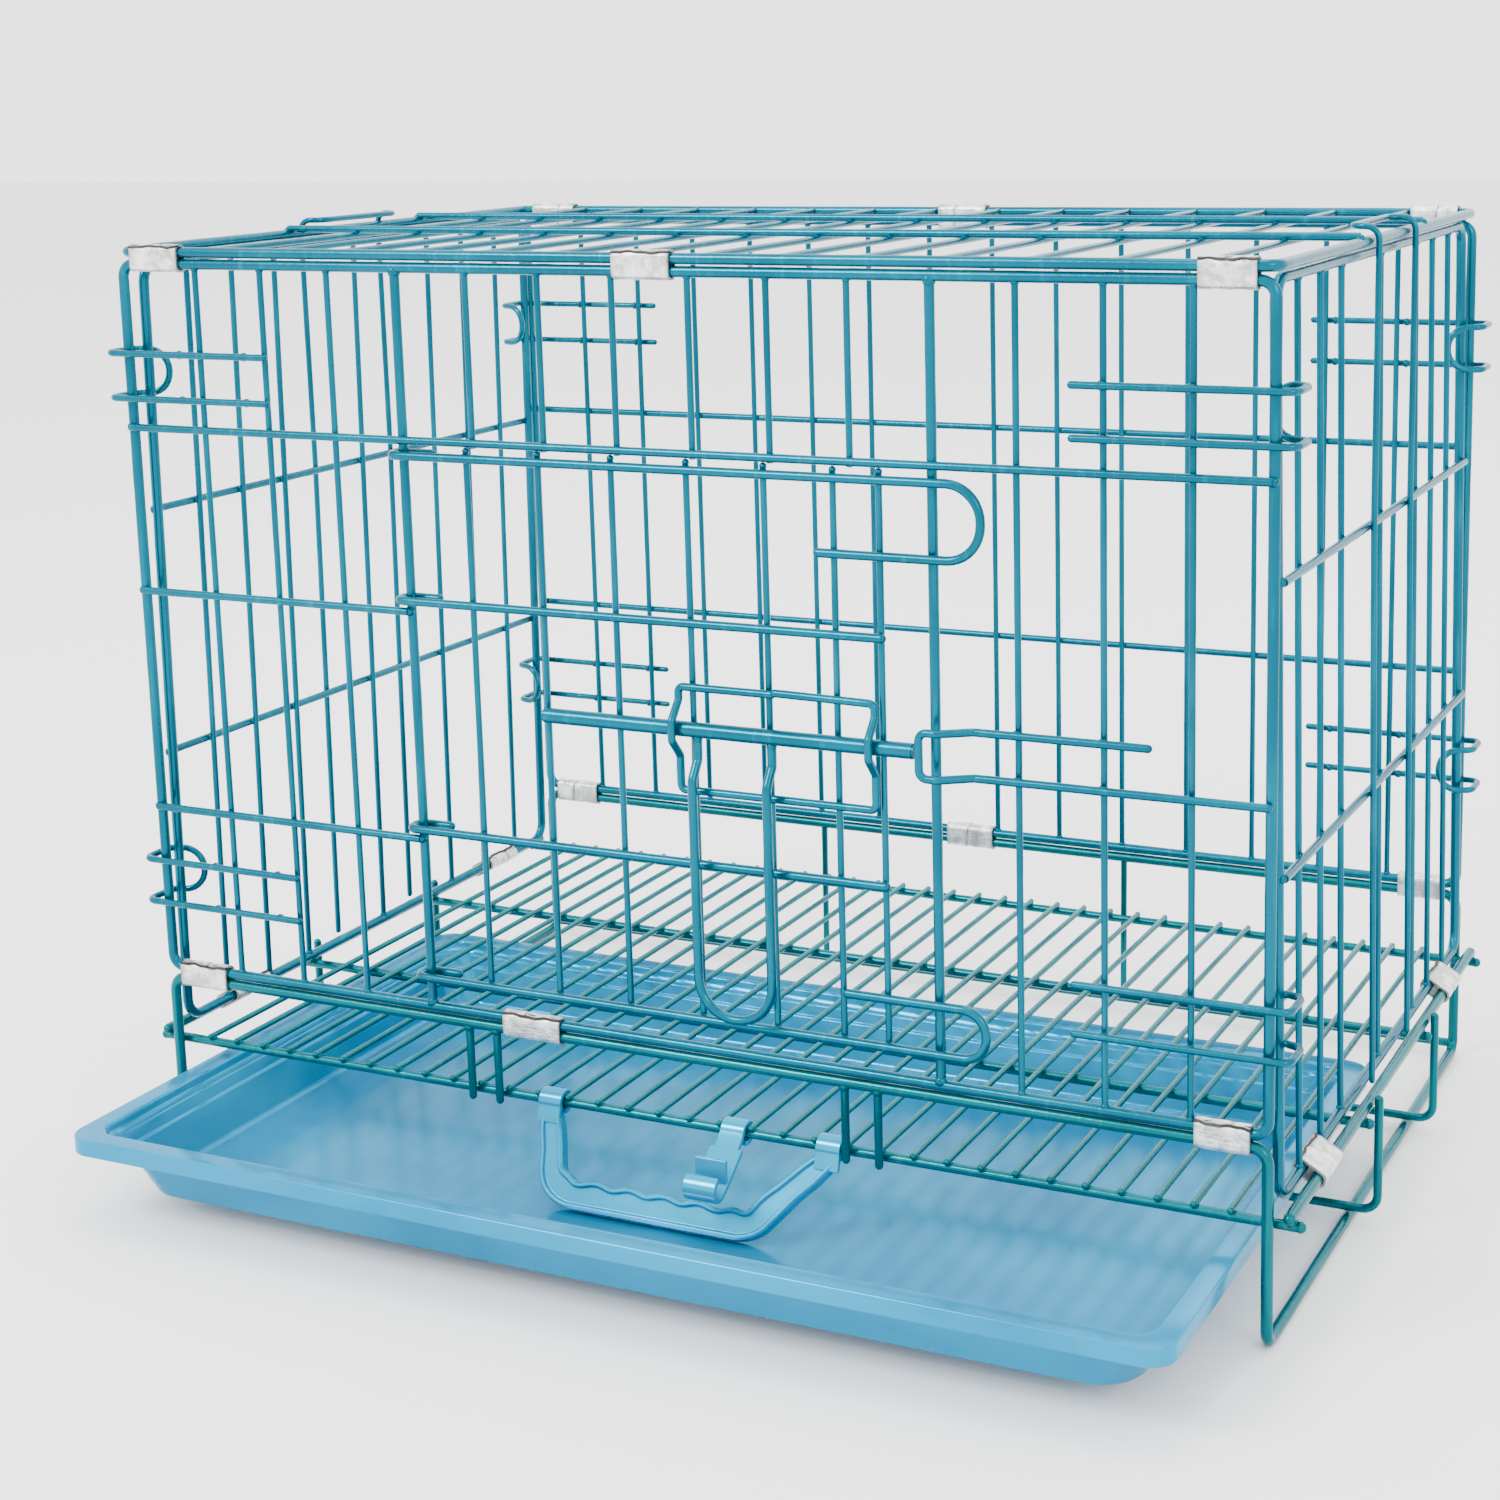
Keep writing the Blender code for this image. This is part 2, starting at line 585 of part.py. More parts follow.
def make_tray(material, pivot):
    """Moulded tray: sloping walls, a flat rim and a skirt hanging from its edge."""
    back_y = TRAY_FRONT_Y + TRAY_LENGTH
    # Inset from the rim's outer edge, height, and corner radius, from the underside round to the floor.
    section = (
        (0.0205, TRAY_BOTTOM_Z, 0.016),
        (0.0185, TRAY_BOTTOM_Z + 0.0015, 0.017),
        (0.0090, TRAY_TOP_Z - 0.0020, 0.014),
        (0.0018, TRAY_TOP_Z - 0.0020, 0.009),
        (0.0018, TRAY_TOP_Z - 0.0068, 0.009),
        (0.0, TRAY_TOP_Z - 0.0068, 0.010),
        (0.0, TRAY_TOP_Z, 0.010),
        (0.0085, TRAY_TOP_Z, 0.009),
        (0.0105, TRAY_TOP_Z - 0.0050, 0.009),
        (0.0125, TRAY_TOP_Z - 0.0054, 0.011),
        (0.0220, TRAY_BOTTOM_Z + 0.0020, 0.014),
    )
    mesh = bmesh.new()
    rings = []
    for inset, z, radius in section:
        low_y = TRAY_FRONT_Y + inset
        outline = rounded_rectangle(TRAY_HALF_X - inset, low_y, back_y - inset, radius, z)
        rings.append([mesh.verts.new(point) for point in outline])
    for low, high in zip(rings, rings[1:]):
        for step in range(len(low)):
            after = (step + 1) % len(low)
            mesh.faces.new((low[step], low[after], high[after], high[step]))
    mesh.faces.new(rings[0])
    mesh.faces.new(rings[-1])
    return finish_object("tray", mesh, material, pivot)


def lean_place(lean):
    """Maps (x, outward, down) of a hanging plastic piece to the cage, turned out by the lean."""
    pivot = Vector((0, GRATE_CROSS_Y[0], GRATE_Z))

    def place(x, outward, down):
        y = -outward * math.cos(lean) - down * math.sin(lean)
        z = outward * math.sin(lean) - down * math.cos(lean)
        return pivot + Vector((x, y, z))

    return place


def add_ribbon(mesh, centreline, thickness, low_x, high_x, place):
    """Extrudes a strip of constant thickness, drawn in (outward, down), along X."""
    left = []
    right = []
    for index, point in enumerate(centreline):
        before = centreline[max(index - 1, 0)]
        after = centreline[min(index + 1, len(centreline) - 1)]
        along = (after - before).normalized()
        across = Vector((-along.y, along.x)) * (thickness / 2)
        left.append(point + across)
        right.append(point - across)
    outline = left + list(reversed(right))
    ends = [[mesh.verts.new(place(x, *point)) for point in outline] for x in (low_x, high_x)]
    count = len(outline)
    for step in range(count):
        after = (step + 1) % count
        mesh.faces.new((ends[0][step], ends[0][after], ends[1][after], ends[1][step]))
    for end in ends:
        for step in range(len(left) - 1):
            mirror = count - 1 - step
            mesh.faces.new((end[step], end[step + 1], end[mirror - 1], end[mirror]))


def snap_arc(steps=9):
    """Open ring that snaps over the grate's front wire, ending where the strap leaves it."""
    radius = SNAP_INNER_R + SNAP_WALL / 2
    arc = []
    for step in range(steps + 1):
        angle = math.radians(-60 + 285 * step / steps)
        arc.append(Vector((math.cos(angle) * -radius, -math.sin(angle) * radius)))
    return arc


def make_carry_handle(material, pivot):
    place = lean_place(GRIP_LEAN)
    mesh = bmesh.new()
    top = SNAP_INNER_R + SNAP_WALL + 0.0015
    low_left, low_right = GRIP_LOW_X
    outline = [(GRIP_LEFT_X, top), (low_left, GRIP_REACH), (low_right, GRIP_REACH), (GRIP_RIGHT_X, top)]
    route = bent([place(x, 0, down) for x, down in outline], GRIP_BEND, steps=4)
    add_tube(mesh, route, GRIP_R)
    obj = finish_object("carry_handle", mesh, material, pivot)
    snaps = bmesh.new()
    tongue = snap_arc() + [Vector((0.0015, 0.0090))]
    half = SNAP_WIDTH / 2
    for middle in (GRIP_LEFT_X, GRIP_RIGHT_X):
        add_ribbon(snaps, tongue, SNAP_WALL, middle - half, middle + half, place)
    weld_on(obj, "snaps", snaps)
    return obj


def make_buckle(material, pivot):
    """Snap ring, flat strap and the S-shaped hook at its end, all one moulded strip."""
    place = lean_place(BUCKLE_LEAN)
    mesh = bmesh.new()
    tongue = snap_arc() + [Vector((0.0014, 0.0130))]
    half = SNAP_WIDTH / 2
    add_ribbon(mesh, tongue, SNAP_WALL, BUCKLE_X - half, BUCKLE_X + half, place)
    obj = finish_object("tray_buckle", mesh, material, pivot)
    centreline = [Vector((0.0016, 0.0095)), Vector((0.0010, 0.0270))]
    curl = 0.0041
    curl_centre = Vector((0.0051, 0.0290))
    for step in range(5):
        angle = math.pi * step / 4
        centreline.append(curl_centre + Vector((-math.cos(angle), math.sin(angle))) * curl)
    strap = bmesh.new()
    low_x = BUCKLE_X - STRAP_HALF
    high_x = BUCKLE_X + STRAP_HALF
    add_ribbon(strap, centreline, SNAP_WALL, low_x, high_x, place)
    weld_on(obj, "strap", strap)
    jaw = bmesh.new()
    fin = [Vector((0.0012, 0.0235)), Vector((0.0095, 0.0195))]
    add_ribbon(jaw, fin, SNAP_WALL, low_x + WELD, high_x - WELD, place)
    weld_on(obj, "jaw", jaw)
    return obj


clear_scene()
cage = bpy.data.objects.new("cage", None)
bpy.context.scene.collection.objects.link(cage)
cage.location = (0, CENTRE_Y, 0)

painted = make_material("painted_wire", PAINT, 0.35, 0.0)
galvanised = make_material("galvanised", (0.68, 0.68, 0.66), 0.45, 0.9)
tray_plastic = make_material("tray_plastic", (0.02, 0.26, 0.62), 0.25, 0.0)
handle_plastic = make_material("handle_plastic", (0.05, 0.45, 0.78), 0.22, 0.0)

make_base_frame(painted)
make_grate(painted)
for place_name, guide_y in zip(("front", "back"), TRAY_GUIDE_Y):
    make_tray_guide(f"tray_guide_{place_name}", guide_y, painted)
make_front_panel(painted)
make_back_panel(painted)
make_top_panel(painted)

for side_name, hand in (("left", -1), ("right", 1)):
    hinge = make_pivot(f"{side_name}_side_pivot", (hand * SIDE_X, 0, SIDE_Z), cage)
    make_side_panel(f"{side_name}_side_panel", hand, painted, hinge)
    make_lock_loop(f"{side_name}_lock_loop", hand, painted, hinge)

# Crimped clips: (name, plane, low wire, high wire) for the long rails, three to each.
clip_spans = {"left": (-0.2292, -0.2060), "middle": (-0.0098, 0.0136), "right": (0.2093, 0.2292)}
for rail, rail_y, low_z, high_z in (
    ("front_top", -PANEL_Y, PANEL_TOP_Z, ROOF_Z),
    ("back_top", PANEL_Y, PANEL_TOP_Z, ROOF_Z),
    ("front_base", -PANEL_Y, BASE_RAIL_Z, PANEL_BOTTOM_Z),
    ("back_base", PANEL_Y, BASE_RAIL_Z, PANEL_BOTTOM_Z),
):
    for where, span in clip_spans.items():
        if rail == "front_base" and where == "middle":
            span = (-0.0715, -0.0460)
        make_clip(
            f"clip_{rail}_{where}",
            lambda s, point, y=rail_y: Vector((s, y + point.x, point.y)),
            span,
            (0, low_z),
            (0, high_z),
            BASE_R if "base" in rail else FRAME_R,
            galvanised,
        )
for side_name, hand in (("left", -1), ("right", 1)):
    for where, middle in (("front", -3.5 * SIDE_PITCH), ("back", 3.5 * SIDE_PITCH)):
        make_clip(
            f"clip_{side_name}_{where}",
            lambda s, point: Vector((point.x, s, point.y)),
            (middle - 0.0118, middle + 0.0118),
            (hand * ROD_X, ROD_Z),
            (hand * SIDE_X, SIDE_Z),
            ROD_R,
            galvanised,
        )

hook_heights = {("front", "upper"): (0.336, 0.318), ("front", "lower"): (0.126, 0.108)}
hook_heights |= {("back", "upper"): (0.329, 0.311), ("back", "lower"): (0.145, 0.127)}
for (depth_name, level), heights in hook_heights.items():
    for side_name, hand in (("left", -1), ("right", 1)):
        facing = -1 if depth_name == "front" else 1
        make_corner_hook(f"hook_{depth_name}_{side_name}_{level}", hand, facing, heights, painted)

door_pivot = make_pivot("door_pivot", (HINGE_X, -PANEL_Y, DOOR_BAR_Z[1]), cage)
make_door(painted, door_pivot)
make_latch_bracket(painted, door_pivot)
bolt_pivot = make_pivot("bolt_pivot", (BOLT_X, BOLT_Y, BOLT_Z), cage)
make_bolt(painted, bolt_pivot)
make_bolt_handle(painted, bolt_pivot)
make_catch(painted)

tray_pivot = make_pivot("tray_pivot", (0, TRAY_FRONT_Y, TRAY_BOTTOM_Z), cage)
make_tray(tray_plastic, tray_pivot)
front_wire_pivot = make_pivot("front_wire_pivot", (0, GRATE_CROSS_Y[0], GRATE_Z), cage)
make_carry_handle(handle_plastic, front_wire_pivot)
make_buckle(handle_plastic, front_wire_pivot)
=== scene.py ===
import json
import math

import bmesh
import bpy
from mathutils import Matrix, Vector


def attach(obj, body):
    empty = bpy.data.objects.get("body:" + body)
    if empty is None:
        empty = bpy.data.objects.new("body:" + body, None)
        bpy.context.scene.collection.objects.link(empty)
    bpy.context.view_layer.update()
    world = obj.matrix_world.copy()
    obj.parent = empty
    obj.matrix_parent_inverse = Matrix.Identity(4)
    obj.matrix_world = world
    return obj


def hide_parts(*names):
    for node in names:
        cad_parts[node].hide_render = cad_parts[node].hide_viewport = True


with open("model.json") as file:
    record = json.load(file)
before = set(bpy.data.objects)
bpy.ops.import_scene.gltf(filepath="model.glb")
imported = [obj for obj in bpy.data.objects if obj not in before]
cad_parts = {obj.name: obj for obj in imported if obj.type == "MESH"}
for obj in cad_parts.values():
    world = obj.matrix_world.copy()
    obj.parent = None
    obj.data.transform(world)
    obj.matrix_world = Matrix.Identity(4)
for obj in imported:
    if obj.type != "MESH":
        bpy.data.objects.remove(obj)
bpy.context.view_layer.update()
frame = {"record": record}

nodeBody = {node: body for body, nodes in frame["record"]["behaviour"]["bodies"].items() for node in nodes}
midY = frame["record"]["mounts"][0]["pos_m"][1]  # the cage's own middle; the drawn tray shifts the origin

# measures shared by several pieces
cage = {
    "postX": 0.235, "postY": 0.1495, "sideX": 0.2365, "sideY": 0.1410, "lean": 0.0043,
    "railZ": 0.0748, "bottomZ": 0.0794, "topZ": 0.3714, "roofZ": 0.376, "sideZ": 0.0529, "sideTopZ": 0.3712,
    "grateZ": 0.046, "rodX": 0.2422, "rodZ": 0.04955, "firstX": -0.1996, "pitch": 0.0313,
}
gauge = {
    "frame": 0.0021, "base": 0.0022, "rod": 0.0023, "post": 0.0019, "door": 0.00175, "thin": 0.00125,
    "bar": 0.0016, "cross": 0.0019, "hook": 0.0014, "loop": 0.00125, "guide": 0.00175,
    "bracket": 0.00155, "bolt": 0.0029, "pull": 0.0018,
}


# shader maths
def newMaterial(name):
    material = bpy.data.materials.new(name)
    material.use_nodes = True
    tree = material.node_tree
    return material, tree, tree.nodes["Principled BSDF"]


class Sock:
    # one output socket, with operators that add Math nodes
    def __init__(self, tree, socket):
        self.tree = tree
        self.socket = socket

    def math(self, kind, *values):
        return addNode(self.tree, "ShaderNodeMath", {"operation": kind}, dict(enumerate(values)))

    def __add__(self, other):
        return self.math("ADD", self, other)

    def __radd__(self, other):
        return self.math("ADD", other, self)

    def __sub__(self, other):
        return self.math("SUBTRACT", self, other)

    def __rsub__(self, other):
        return self.math("SUBTRACT", other, self)

    def __mul__(self, other):
        return self.math("MULTIPLY", self, other)

    def __rmul__(self, other):
        return self.math("MULTIPLY", other, self)

    def __truediv__(self, other):
        return self.math("DIVIDE", self, other)

    def step(self, low, high):
        # smooth ramp from 0 at low to 1 at high
        settings = {"interpolation_type": "SMOOTHSTEP"}
        values = {"Value": self, "From Min": low, "From Max": high}
        return addNode(self.tree, "ShaderNodeMapRange", settings, values)


def addNode(tree, kind, settings=None, values=None, out=0):
    # settings go first, because some of them change which sockets a node has
    node = tree.nodes.new(kind)
    for key, value in (settings or {}).items():
        if key == "stops":
            ramp = node.color_ramp
            while len(ramp.elements) < len(value):
                ramp.elements.new(0.5)
            for element, (place, colour) in zip(ramp.elements, value):
                element.position = place
                element.color = (*colour, 1)
        else:
            setattr(node, key, value)
    for key, value in (values or {}).items():
        socket = node.inputs[key]
        if isinstance(value, Sock):
            tree.links.new(value.socket, socket)
        else:
            socket.default_value = value
    return Sock(tree, node.outputs[out])


def mixColour(tree, factor, low, high, blend="MIX"):
    low = low if isinstance(low, Sock) else (*low, 1)
    high = high if isinstance(high, Sock) else (*high, 1)
    settings = {"data_type": "RGBA", "blend_type": blend}
    return addNode(tree, "ShaderNodeMix", settings, {0: factor, 6: low, 7: high}, out=2)


def place(tree, scale=(1, 1, 1)):
    coordinates = addNode(tree, "ShaderNodeTexCoord", out=3)
    return addNode(tree, "ShaderNodeMapping", None, {"Vector": coordinates, "Scale": scale})


def noise(tree, vector, scale, detail=2.0, rough=0.5, twist=0.0):
    values = {"Vector": vector, "Scale": scale, "Detail": detail, "Roughness": rough, "Distortion": twist}
    return addNode(tree, "ShaderNodeTexNoise", None, values)


def feed(tree, shader, **links):
    for name, value in links.items():
        tree.links.new(value.socket, shader.inputs[name.replace("_", " ")])


def bump(tree, height, distance, strength=1.0):
    values = {"Height": height, "Distance": distance, "Strength": strength}
    return addNode(tree, "ShaderNodeBump", None, values)


# materials
paintLooks = {
    "panelPaint": {"mid": (0, 0.105, 0.160), "light": (0, 0.200, 0.280), "dark": (0, 0.052, 0.084)},
    "basePaint": {"mid": (0, 0.118, 0.142), "light": (0, 0.210, 0.235), "dark": (0, 0.058, 0.074)},
}


def makePaint(name, look):
    # dipped paint: a little thicker and darker in some stretches, pooled at the welds, orange-peel skin
    material, tree, shader = newMaterial(name)
    here = place(tree)
    patches = noise(tree, here, 22, 2.0, 0.5)
    drips = noise(tree, place(tree, (300, 300, 26)), 1.0, 2.0)
    weld = addNode(tree, "ShaderNodeAttribute", {"attribute_name": "weld"}, out=2)
    body = mixColour(tree, patches.step(0.30, 0.70) * 0.45 + 0.55, look["dark"], look["mid"])
    body = mixColour(tree, drips.step(0.52, 0.80) * 0.35, body, look["light"])
    body = mixColour(tree, weld * 0.30, body, look["dark"])
    specks = noise(tree, here, 900, 1.0)
    body = mixColour(tree, specks.step(0.775, 0.81) * 0.8, body, (0.01, 0.03, 0.03))
    grain = noise(tree, here, 1500, 2.0)
    skin = noise(tree, here, 300, 2.0, 0.5)
    rough = 0.17 + patches * 0.10 + specks.step(0.7, 0.8) * 0.3
    feed(tree, shader, Base_Color=body, Roughness=rough, Normal=bump(tree, skin + grain * 0.2, 0.00013, 0.6))
    shader.inputs["Metallic"].default_value = 0.65
    shader.inputs["IOR"].default_value = 1.14
    return material


# the darkest colour is painted shade for the clips' creases, lapped edge and ends
steelLook = {"bright": (0.84, 0.84, 0.83), "grey": (0.40, 0.41, 0.41), "grime": (0.035, 0.033, 0.028)}


def makeSteel():
    # galvanised strip, crimped: rolling marks along it, painted shade in the creases, along the lapped edge
    # and at the ends
    material, tree, shader = newMaterial("clipSteel")
    here = place(tree)
    cloud = noise(tree, here, 170, 4.0, 0.65)
    rolled = noise(tree, place(tree, (90, 1200, 1200)), 1.0, 2.0)
    crease = addNode(tree, "ShaderNodeAttribute", {"attribute_name": "crease"}, out=2)
    tone = mixColour(tree, cloud.step(0.35, 0.65), steelLook["grey"], steelLook["bright"])
    tone = mixColour(tree, rolled.step(0.5, 0.8) * 0.25, tone, steelLook["grey"])
    # painted shade: the creases, the lapped edge and the strip's ends are darkened
    tone = mixColour(tree, crease * (0.7 + cloud * 0.6), tone, steelLook["grime"])
    pits = noise(tree, here, 1400, 2.0)
    feed(
        tree, shader, Base_Color=tone, Roughness=0.22 + cloud * 0.22 + crease * 0.3,
        Normal=bump(tree, cloud + rolled * 0.4 + pits * 0.2, 0.0007, 0.7),
    )
    shader.inputs["Metallic"].default_value = 0.80
    return material


plasticLooks = {
    "trayPlastic": {
        "mid": (0, 0.240, 0.430), "deep": (0, 0.175, 0.340), "pale": (0, 0.330, 0.540), "rough": 0.14,
    },
    "handlePlastic": {
        "mid": (0, 0.290, 0.470), "deep": (0, 0.215, 0.370), "pale": (0, 0.370, 0.570), "rough": 0.12,
    },
}


def makePlastic(name, look):
    # moulded polypropylene: faint flow clouds, fine scuffs, a waxy skin
    material, tree, shader = newMaterial(name)
    here = place(tree)
    flow = noise(tree, place(tree, (9, 14, 18)), 1.0, 3.0, 0.5, 0.8)
    scuffs = noise(tree, place(tree, (60, 700, 300)), 1.0, 3.0)
    spots = noise(tree, here, 260, 3.0)
    tone = mixColour(tree, flow.step(0.3, 0.7), look["deep"], look["mid"])
    tone = mixColour(tree, scuffs.step(0.66, 0.82) * 0.12, tone, look["pale"])
    tone = mixColour(tree, spots.step(0.68, 0.76) * 0.20, tone, look["pale"])
    wave = noise(tree, here, 26, 1.0)
    feed(
        tree, shader, Base_Color=tone, Roughness=look["rough"] + scuffs.step(0.6, 0.82) * 0.08 + spots * 0.05,
        Normal=bump(tree, wave * 1.5 + spots * 0.08, 0.0005, 0.5),
    )
    shader.inputs["Metallic"].default_value = 0.42
    shader.inputs["IOR"].default_value = 1.14
    return material


paints = {name: makePaint(name, look) for name, look in paintLooks.items()}
plastics = {name: makePlastic(name, look) for name, look in plasticLooks.items()}
clipSteel = makeSteel()
print("materials made")


# geometry nodes for dipped wire
def wireTree():
    # edges become round wire of the stored gauge; single points become weld beads
    tree = bpy.data.node_groups.new("dippedWire", "GeometryNodeTree")
    face = tree.interface
    face.new_socket("Geometry", in_out="OUTPUT", socket_type="NodeSocketGeometry")
    face.new_socket("Geometry", in_out="INPUT", socket_type="NodeSocketGeometry")
    for name, kind, value in (
        ("Sides", "NodeSocketInt", 12),
        ("Paint Ripple", "NodeSocketFloat", 0.0002),
        ("Ripple Scale", "NodeSocketFloat", 110.0),
        ("Bead Detail", "NodeSocketInt", 2),
        ("Material", "NodeSocketMaterial", None),
    ):
        socket = face.new_socket(name, in_out="INPUT", socket_type=kind)
        if value is not None:
            socket.default_value = value
    links = tree.links
    given = tree.nodes.new("NodeGroupInput")
    result = tree.nodes.new("NodeGroupOutput")

    def node(kind, settings=None, values=None):
        made = tree.nodes.new(kind)
        for key, value in (settings or {}).items():
            setattr(made, key, value)
        for key, value in (values or {}).items():
            if isinstance(value, bpy.types.NodeSocket):
                links.new(value, made.inputs[key])
            else:
                made.inputs[key].default_value = value
        return made

    def stored(name):
        return node("GeometryNodeInputNamedAttribute", {"data_type": "FLOAT"}, {"Name": name}).outputs[0]

    isBead = node("FunctionNodeCompare", {"operation": "GREATER_THAN"}, {0: stored("bead"), 1: 0.00001})
    parts = node("GeometryNodeSeparateGeometry", None, {0: given.outputs["Geometry"], 1: isBead.outputs[0]})
    lines = node("GeometryNodeMeshToCurve", None, {0: parts.outputs["Inverted"]})
    sides = given.outputs["Sides"]
    profile = node("GeometryNodeCurvePrimitiveCircle", None, {"Resolution": sides, "Radius": 1.0})
    tube = node(
        "GeometryNodeCurveToMesh", None,
        {0: lines.outputs[0], 1: profile.outputs[0], "Scale": stored("gauge"), "Fill Caps": True},
    )
    texture = node("ShaderNodeTexNoise", None, {"Scale": given.outputs["Ripple Scale"], "Detail": 2.0})
    centred = node("ShaderNodeMath", {"operation": "SUBTRACT"}, {0: texture.outputs[0], 1: 0.5})
    ripple = given.outputs["Paint Ripple"]
    amount = node("ShaderNodeMath", {"operation": "MULTIPLY"}, {0: centred.outputs[0], 1: ripple})
    normal = node("GeometryNodeInputNormal")
    scaled = {0: normal.outputs[0], "Scale": amount.outputs[0]}
    push = node("ShaderNodeVectorMath", {"operation": "SCALE"}, scaled)
    asFloat = {"data_type": "FLOAT"}
    plain = {0: tube.outputs[0], "Name": "weld", "Value": 0.0}
    tagWire = node("GeometryNodeStoreNamedAttribute", asFloat, plain)
    detail = given.outputs["Bead Detail"]
    ball = node("GeometryNodeMeshIcoSphere", None, {"Radius": 1.0, "Subdivisions": detail})
    beads = node(
        "GeometryNodeInstanceOnPoints", None,
        {0: parts.outputs["Selection"], "Instance": ball.outputs[0], "Scale": stored("bead")},
    )
    real = node("GeometryNodeRealizeInstances", None, {0: beads.outputs[0]})
    welded = {0: real.outputs[0], "Name": "weld", "Value": 1.0}
    tagBead = node("GeometryNodeStoreNamedAttribute", asFloat, welded)
    both = node("GeometryNodeJoinGeometry")
    links.new(tagWire.outputs[0], both.inputs[0])
    links.new(tagBead.outputs[0], both.inputs[0])
    moved = node("GeometryNodeSetPosition", None, {0: both.outputs[0], "Offset": push.outputs[0]})
    smooth = node("GeometryNodeSetShadeSmooth", None, {0: moved.outputs[0], "Shade Smooth": True})
    whole = node("GeometryNodeRealizeInstances", None, {0: smooth.outputs[0]})
    material = given.outputs["Material"]
    coloured = node("GeometryNodeSetMaterial", None, {0: whole.outputs[0], "Material": material})
    links.new(coloured.outputs[0], result.inputs[0])
    return tree


dippedWire = wireTree()


def bent(points, radius, steps=5, closed=False):
    # the route through the points, each corner rounded to an arc
    route = []
    count = len(points)
    radii = radius if isinstance(radius, list) else [radius] * count
    for index, corner in enumerate(points):
        corner = Vector(corner)
        if not closed and index in (0, count - 1):
            route.append(corner)
            continue
        before = (Vector(points[index - 1]) - corner).normalized()
        after = (Vector(points[(index + 1) % count]) - corner).normalized()
        angle = before.angle(after)
        if angle > math.radians(178):
            route.append(corner)
            continue
        run = radii[index] / math.tan(angle / 2)
        centre = corner + (before + after).normalized() * (radii[index] / math.sin(angle / 2))
        start = corner + before * run - centre
        turn = math.pi - angle
        axis = start.cross(corner + after * run - centre).normalized()
        for step in range(steps + 1):
            route.append(centre + Matrix.Rotation(turn * step / steps, 3, axis) @ start)
    return route


class Skeleton:
    # points, lines and beads of one wire piece, in the cage's own frame (y = 0 at its middle)
    def __init__(self):
        self.points = []
        self.edges = []
        self.gauges = []
        self.beads = []

    def wire(self, route, radius, closed=False, longest=0.009, tip=1.0):
        route = [Vector(point) for point in route]
        if closed:
            route.append(route[0])
        fine = [route[0]]
        for low, high in zip(route, route[1:]):
            pieces = max(1, math.ceil((high - low).length / longest))
            fine += [low.lerp(high, step / pieces) for step in range(1, pieces + 1)]
        if closed:
            fine.pop()
        first = len(self.points)
        self.points += fine
        self.gauges += [radius] * len(fine)
        self.beads += [0.0] * len(fine)
        last = len(self.points) - 1
        self.edges += [(index, index + 1) for index in range(first, last)]
        if closed:
            self.edges.append((last, first))
        elif tip:
            self.bead(fine[0], radius * tip)
            self.bead(fine[-1], radius * tip)

    def bead(self, point, radius):
        self.points.append(Vector(point))
        self.gauges.append(0.0)
        self.beads.append(radius)

    def grid(self, at, uprights, bars, rails, barGauge, lift):
        # uprights are (u, low, high, gauge), bars (v, low, high), rails the v of the frame
        for u, low, high, radius in uprights:
            self.wire([at(u, low, 0), at(u, high, 0)], radius, tip=0)
            for rail in rails:
                if low - 0.001 < rail < high + 0.001:
                    inward = 0.0016 if rail == min(rails) else -0.0016
                    self.bead(at(u, rail + inward, 0), radius * 1.35)
        for v, low, high in bars:
            self.wire([at(low, v, lift), at(high, v, lift)], barGauge, tip=0)
            for u, bottom, top, radius in uprights:
                if low - 0.001 < u < high + 0.001 and bottom - 0.001 < v < top + 0.001:
                    self.bead(at(u, v, lift * 0.5), (radius + barGauge) * 0.56)
            for u in (low, high):
                self.bead(at(u, v, lift * 0.6), barGauge * 1.25)

    def finish(self, name, node, look, sides=12, ripple=0.00028):
        mesh = bpy.data.meshes.new(name)
        mesh.from_pydata([(p.x, p.y + midY, p.z) for p in self.points], self.edges, [])
        for key, values in (("gauge", self.gauges), ("bead", self.beads)):
            mesh.attributes.new(key, "FLOAT", "POINT").data.foreach_set("value", values)
        source = bpy.data.objects.new(name + "Lines", mesh)
        bpy.context.scene.collection.objects.link(source)
        modifier = source.modifiers.new("wire", "NODES")
        modifier.node_group = dippedWire
        inputs = [item for item in dippedWire.interface.items_tree if item.in_out == "INPUT"]
        sockets = {item.name: item.identifier for item in inputs}
        modifier[sockets["Sides"]] = sides
        modifier[sockets["Paint Ripple"]] = ripple
        modifier[sockets["Material"]] = paints[look]
        graph = bpy.context.evaluated_depsgraph_get()
        made = bpy.data.meshes.new_from_object(source.evaluated_get(graph), depsgraph=graph)
        bpy.data.objects.remove(source)
        made.name = name
        piece = bpy.data.objects.new(name, made)
        bpy.context.scene.collection.objects.link(piece)
        return settle(piece, node)


def settle(piece, node):
    # stands for the CAD node, on that node's body
    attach(piece, nodeBody[node])
    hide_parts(node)
    return piece


# frames and panels
postX, postY, pitch = cage["postX"], cage["postY"], cage["pitch"]
frameBend = 0.0055  # corners of the panels' frames
frontX = [cage["firstX"] + pitch * step for step in range(14)]
hingeX, strikeX = frontX[3], frontX[10]
thin, bar = gauge["thin"], gauge["bar"]
lift = thin + bar - 0.0005  # bars lie on the wires and sink in a little at the welds


def spread(count, step):
    return [step * (index - (count - 1) / 2) for index in range(count)]


